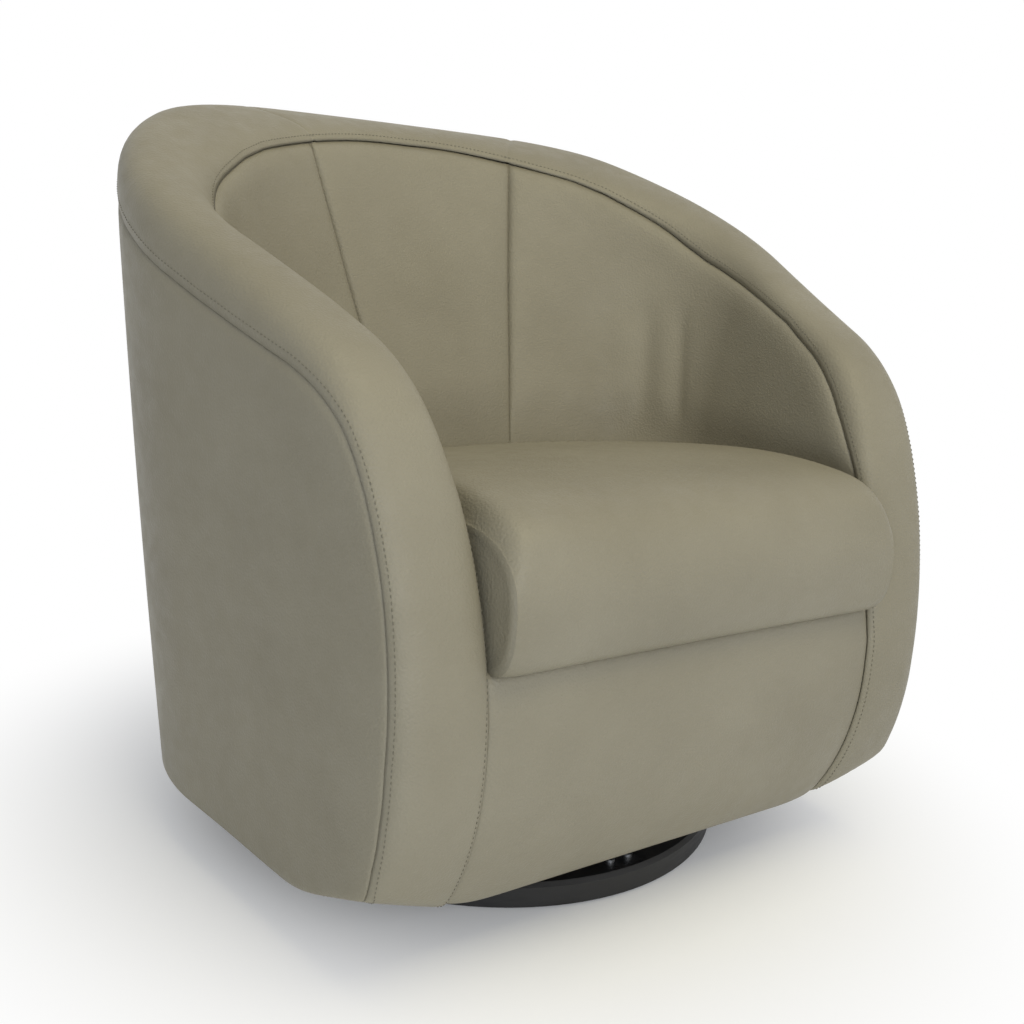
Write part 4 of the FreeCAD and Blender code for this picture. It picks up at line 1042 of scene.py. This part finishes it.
def sew_cushion(obj):
    """The row of stitches beside each end seam."""
    shape = (CUSHION_COLUMNS, CUSHION_LOOP, 3)
    vertices = obj.data.vertices
    places = np.array([v.co for v in vertices])[:CUSHION_BODY].reshape(shape)
    normals = np.array([v.normal for v in vertices])[:CUSHION_BODY].reshape(shape)
    for name, column in (("topstitch_cushion_left", SEAM_COLUMN),
                         ("topstitch_cushion_right", -1 - SEAM_COLUMN)):
        line, ups = places[column], normals[column]
        shown = line[:, 2] > CUSHION_LOW + SEWN_ABOVE
        turn = int(np.argmin(shown))
        line, ups, shown = (np.roll(a, -turn, axis=0) for a in (line, ups, shown))
        stitches(name, line[shown] + ups[shown] * SEWN_LIFT, ups[shown], "cushion")


# The deck pad under the cushion

DECK_ROWS = 46
DECK_COLUMNS = 60
DECK_GAP = 0.0015
DECK_SAG = 0.004
DECK_DROP = 0.0005


def make_deck():
    low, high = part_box("seat_deck")
    back = back_reach(INSIDE, 0, DECK) - DECK_GAP
    grid = []
    for share in np.sin(np.linspace(0, math.pi / 2, DECK_ROWS)):
        y = low.y + (back - low.y) * share
        half = half_width(INSIDE, y, DECK) - DECK_GAP
        sag = DECK_SAG * math.sin(math.pi * share)
        grid.append([(u * half, y, high.z - DECK_DROP - sag * (1 - u * u))
                     for u in np.linspace(-1, 1, DECK_COLUMNS)])
    grid = np.array(grid)
    under = grid.copy()
    under[:, :, 2] = low.z
    verts = np.concatenate([grid.reshape(-1, 3), under.reshape(-1, 3)])
    total = DECK_ROWS * DECK_COLUMNS
    faces = grid_faces(DECK_ROWS, DECK_COLUMNS, True)
    faces += grid_faces(DECK_ROWS, DECK_COLUMNS, False, total)
    ids = np.arange(total).reshape(DECK_ROWS, DECK_COLUMNS)
    edge = np.concatenate([ids[0], ids[1:, -1], ids[-1, -2::-1], ids[-2:0:-1, 0]]).tolist()
    for a, b in zip(edge, edge[1:] + edge[:1]):
        faces.append((a, b, b + total, a + total))
    obj = new_object("deck_pad", verts, faces, FELT, "tub")
    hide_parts("seat_deck")


# The cloth under the chair

CLOTH_MARGIN = 0.030
CLOTH_FRONT = -0.256
CLOTH_REACH = 0.5
# Where the side wall stops bounding the cloth, and how far a corner may lift under it
CLOTH_SIDE_Y = 0.2
CLOTH_LIFT = 0.001
CLOTH_SAG = 0.0012
CLOTH_DROP = 0.0006
WINDOW_HALF = 0.1315
CLOTH_TURNS = 180
CLOTH_RINGS = 12
HALVINGS = 24


def on_cloth(x, y):
    side = half_width(OUTSIDE, min(y, CLOTH_SIDE_Y), FLOOR_GAP) - CLOTH_MARGIN
    within_back = y < 0 or y <= back_reach(OUTSIDE, x, FLOOR_GAP) - CLOTH_MARGIN
    lift = lift_corners(np.array((x, y, FLOOR_GAP)))[2] - FLOOR_GAP
    return abs(x) <= side and within_back and y >= CLOTH_FRONT and abs(lift) < CLOTH_LIFT


def make_dust_cloth():
    low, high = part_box("dust_cover")
    grid = []
    for angle in np.linspace(0, 2 * math.pi, CLOTH_TURNS + 1):
        c, s = math.cos(angle), math.sin(angle)
        near, far = WINDOW_HALF / max(abs(c), abs(s)), CLOTH_REACH
        inner = near
        for _ in range(HALVINGS):
            middle = (near + far) / 2
            near, far = (middle, far) if on_cloth(middle * c, middle * s) else (near, middle)
        row = []
        for share in np.linspace(0, 1, CLOTH_RINGS):
            r = inner + (near - inner) * share
            sag = CLOTH_SAG * math.sin(math.pi * share) * (1 + 0.4 * math.sin(9 * angle))
            row.append((r * c, r * s, high.z - CLOTH_DROP - sag))
        grid.append(row)
    grid = np.array(grid)
    obj = grid_object("dust_cloth", grid, DUST, "tub")
    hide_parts("dust_cover")


# Light, floor and camera

# The camera that fits the photo: place, turns in radians and lens in mm
CAMERA_PLACE = (-0.8136, -1.0850, 0.6607)
HEADING = -0.6521
PITCH = 0.23567
ROLL = 0.08346
LENS = 43.685
SENSOR = 36.0
# Name, place, target, size, power and colour of each light
LIGHTS = [("above", (0.0, -0.9, 2.5), (0, 0, 0.4), (1.6, 1.6), 23.0, (1.0, 0.91, 0.58)),
          ("front", (-0.6, -2.6, 1.1), (0, 0, 0.4), (1.4, 1.4), 22.0, (0.94, 0.96, 1.0)),
          ("low", (-1.5, -1.9, 0.30), (-0.2, -0.2, 0.3), (1.2, 0.5), 8.0, (0.80, 0.90, 1.0))]
SKY = (0.88, 0.93, 1.0, 1)
SKY_STRENGTH = 0.36
WHITE = (1, 1, 1, 1)
# Where the floor begins to fade to white, where it is white, and its half length
FADE_FROM = 0.15
FADE_TO = 0.70
FLOOR_HALF = 12.0


def area_light(name, place, target, size, power, colour):
    data = bpy.data.lights.new(name, "AREA")
    data.shape = "RECTANGLE"
    data.size, data.size_y = size
    data.energy = power
    data.color = colour
    obj = bpy.data.objects.new(name, data)
    bpy.context.collection.objects.link(obj)
    obj.location = place
    obj.rotation_euler = (Vector(target) - Vector(place)).to_track_quat("-Z", "Y").to_euler()


def make_camera():
    ahead = np.array((-math.sin(HEADING) * math.cos(PITCH), math.cos(HEADING) * math.cos(PITCH),
                      -math.sin(PITCH)))
    level = np.array((math.cos(HEADING), math.sin(HEADING), 0.0))
    plumb = np.cross(level, ahead)
    right = math.cos(ROLL) * level + math.sin(ROLL) * plumb
    up = -math.sin(ROLL) * level + math.cos(ROLL) * plumb
    data = bpy.data.cameras.new("camera")
    data.sensor_width = SENSOR
    data.lens = LENS
    obj = bpy.data.objects.new("camera", data)
    bpy.context.collection.objects.link(obj)
    rows = list(zip(right, up, -ahead, CAMERA_PLACE))
    obj.matrix_world = Matrix(rows + [(0, 0, 0, 1)])
    bpy.context.scene.camera = obj


def seen_rays(tree):
    """1 for rays that show the white background: from the camera, off metal, through glass."""
    path = tree.nodes.new("ShaderNodeLightPath")
    total = path.outputs["Is Camera Ray"]
    for name in ("Is Glossy Ray", "Is Transmission Ray"):
        total = combine(tree, "MAXIMUM", total, path.outputs[name])
    return total


def pale_floor():
    """A pale floor that keeps the shadow near the chair and fades to white further off."""
    material, tree, shader, vector = node_material("floor")
    greys = [(0.3, (0.95, 0.95, 0.95)), (0.7, (0.97, 0.97, 0.97))]
    tree.links.new(ramp(tree, noise(tree, vector, 2.0), greys), shader.inputs["Base Color"])
    shader.inputs["Roughness"].default_value = 0.9
    shader.inputs["Specular IOR Level"].default_value = 0.1
    white = tree.nodes.new("ShaderNodeEmission")
    white.inputs["Color"].default_value = WHITE
    distance = tree.nodes.new("ShaderNodeVectorMath")
    distance.operation = "LENGTH"
    tree.links.new(vector, distance.inputs[0])
    fade = tree.nodes.new("ShaderNodeMapRange")
    fade.interpolation_type = "SMOOTHSTEP"
    fade.inputs["From Min"].default_value = FADE_FROM
    fade.inputs["From Max"].default_value = FADE_TO
    tree.links.new(distance.outputs["Value"], fade.inputs["Value"])
    seen = combine(tree, "MULTIPLY", fade.outputs["Result"], seen_rays(tree))
    mix = tree.nodes.new("ShaderNodeMixShader")
    tree.links.new(seen, mix.inputs["Fac"])
    tree.links.new(shader.outputs["BSDF"], mix.inputs[1])
    tree.links.new(white.outputs["Emission"], mix.inputs[2])
    tree.links.new(mix.outputs["Shader"], tree.nodes["Material Output"].inputs["Surface"])
    return material


def make_floor():
    mesh = bpy.data.meshes.new("floor")
    corners = [(-1, -1), (1, -1), (1, 1), (-1, 1)]
    mesh.from_pydata([(FLOOR_HALF * x, FLOOR_HALF * y, 0) for x, y in corners], [], [(0, 1, 2, 3)])
    floor = bpy.data.objects.new("floor", mesh)
    mesh.materials.append(pale_floor())
    bpy.context.collection.objects.link(floor)


def make_world():
    """A pale sky that lights the chair, and white where the background is seen."""
    world = bpy.data.worlds.new("studio")
    world.use_nodes = True
    bpy.context.scene.world = world
    tree = world.node_tree
    tree.nodes.clear()
    output = tree.nodes.new("ShaderNodeOutputWorld")
    lit = tree.nodes.new("ShaderNodeBackground")
    lit.inputs["Color"].default_value = SKY
    lit.inputs["Strength"].default_value = SKY_STRENGTH
    white = tree.nodes.new("ShaderNodeBackground")
    white.inputs["Color"].default_value = WHITE
    white.inputs["Strength"].default_value = 1.0
    mix = tree.nodes.new("ShaderNodeMixShader")
    tree.links.new(seen_rays(tree), mix.inputs["Fac"])
    tree.links.new(lit.outputs["Background"], mix.inputs[1])
    tree.links.new(white.outputs["Background"], mix.inputs[2])
    tree.links.new(mix.outputs["Shader"], output.inputs["Surface"])


def finish_nodes():
    """Gives each solid the finish of its slot."""
    for part in frame["record"]["subparts"]:
        mesh = frame["nodes"][part["node"]].data
        mesh.materials.clear()
        mesh.materials.append(FINISHES[part["material_slot"]])


def main():
    finish_nodes()
    grid, normals = make_bands()
    for name, inner in (("topstitch_outer", False), ("topstitch_inner", True)):
        line, ups = inset_line(grid, normals, TOPSTITCH, inner)
        stitches(name, line, ups, "tub")
    make_outside()
    make_inside()
    make_front()
    sew_cushion(make_cushion())
    make_deck()
    make_dust_cloth()
    make_floor()
    make_world()
    for light in LIGHTS:
        area_light(*light)
    make_camera()
    bpy.context.scene.view_settings.view_transform = "Standard"


main()
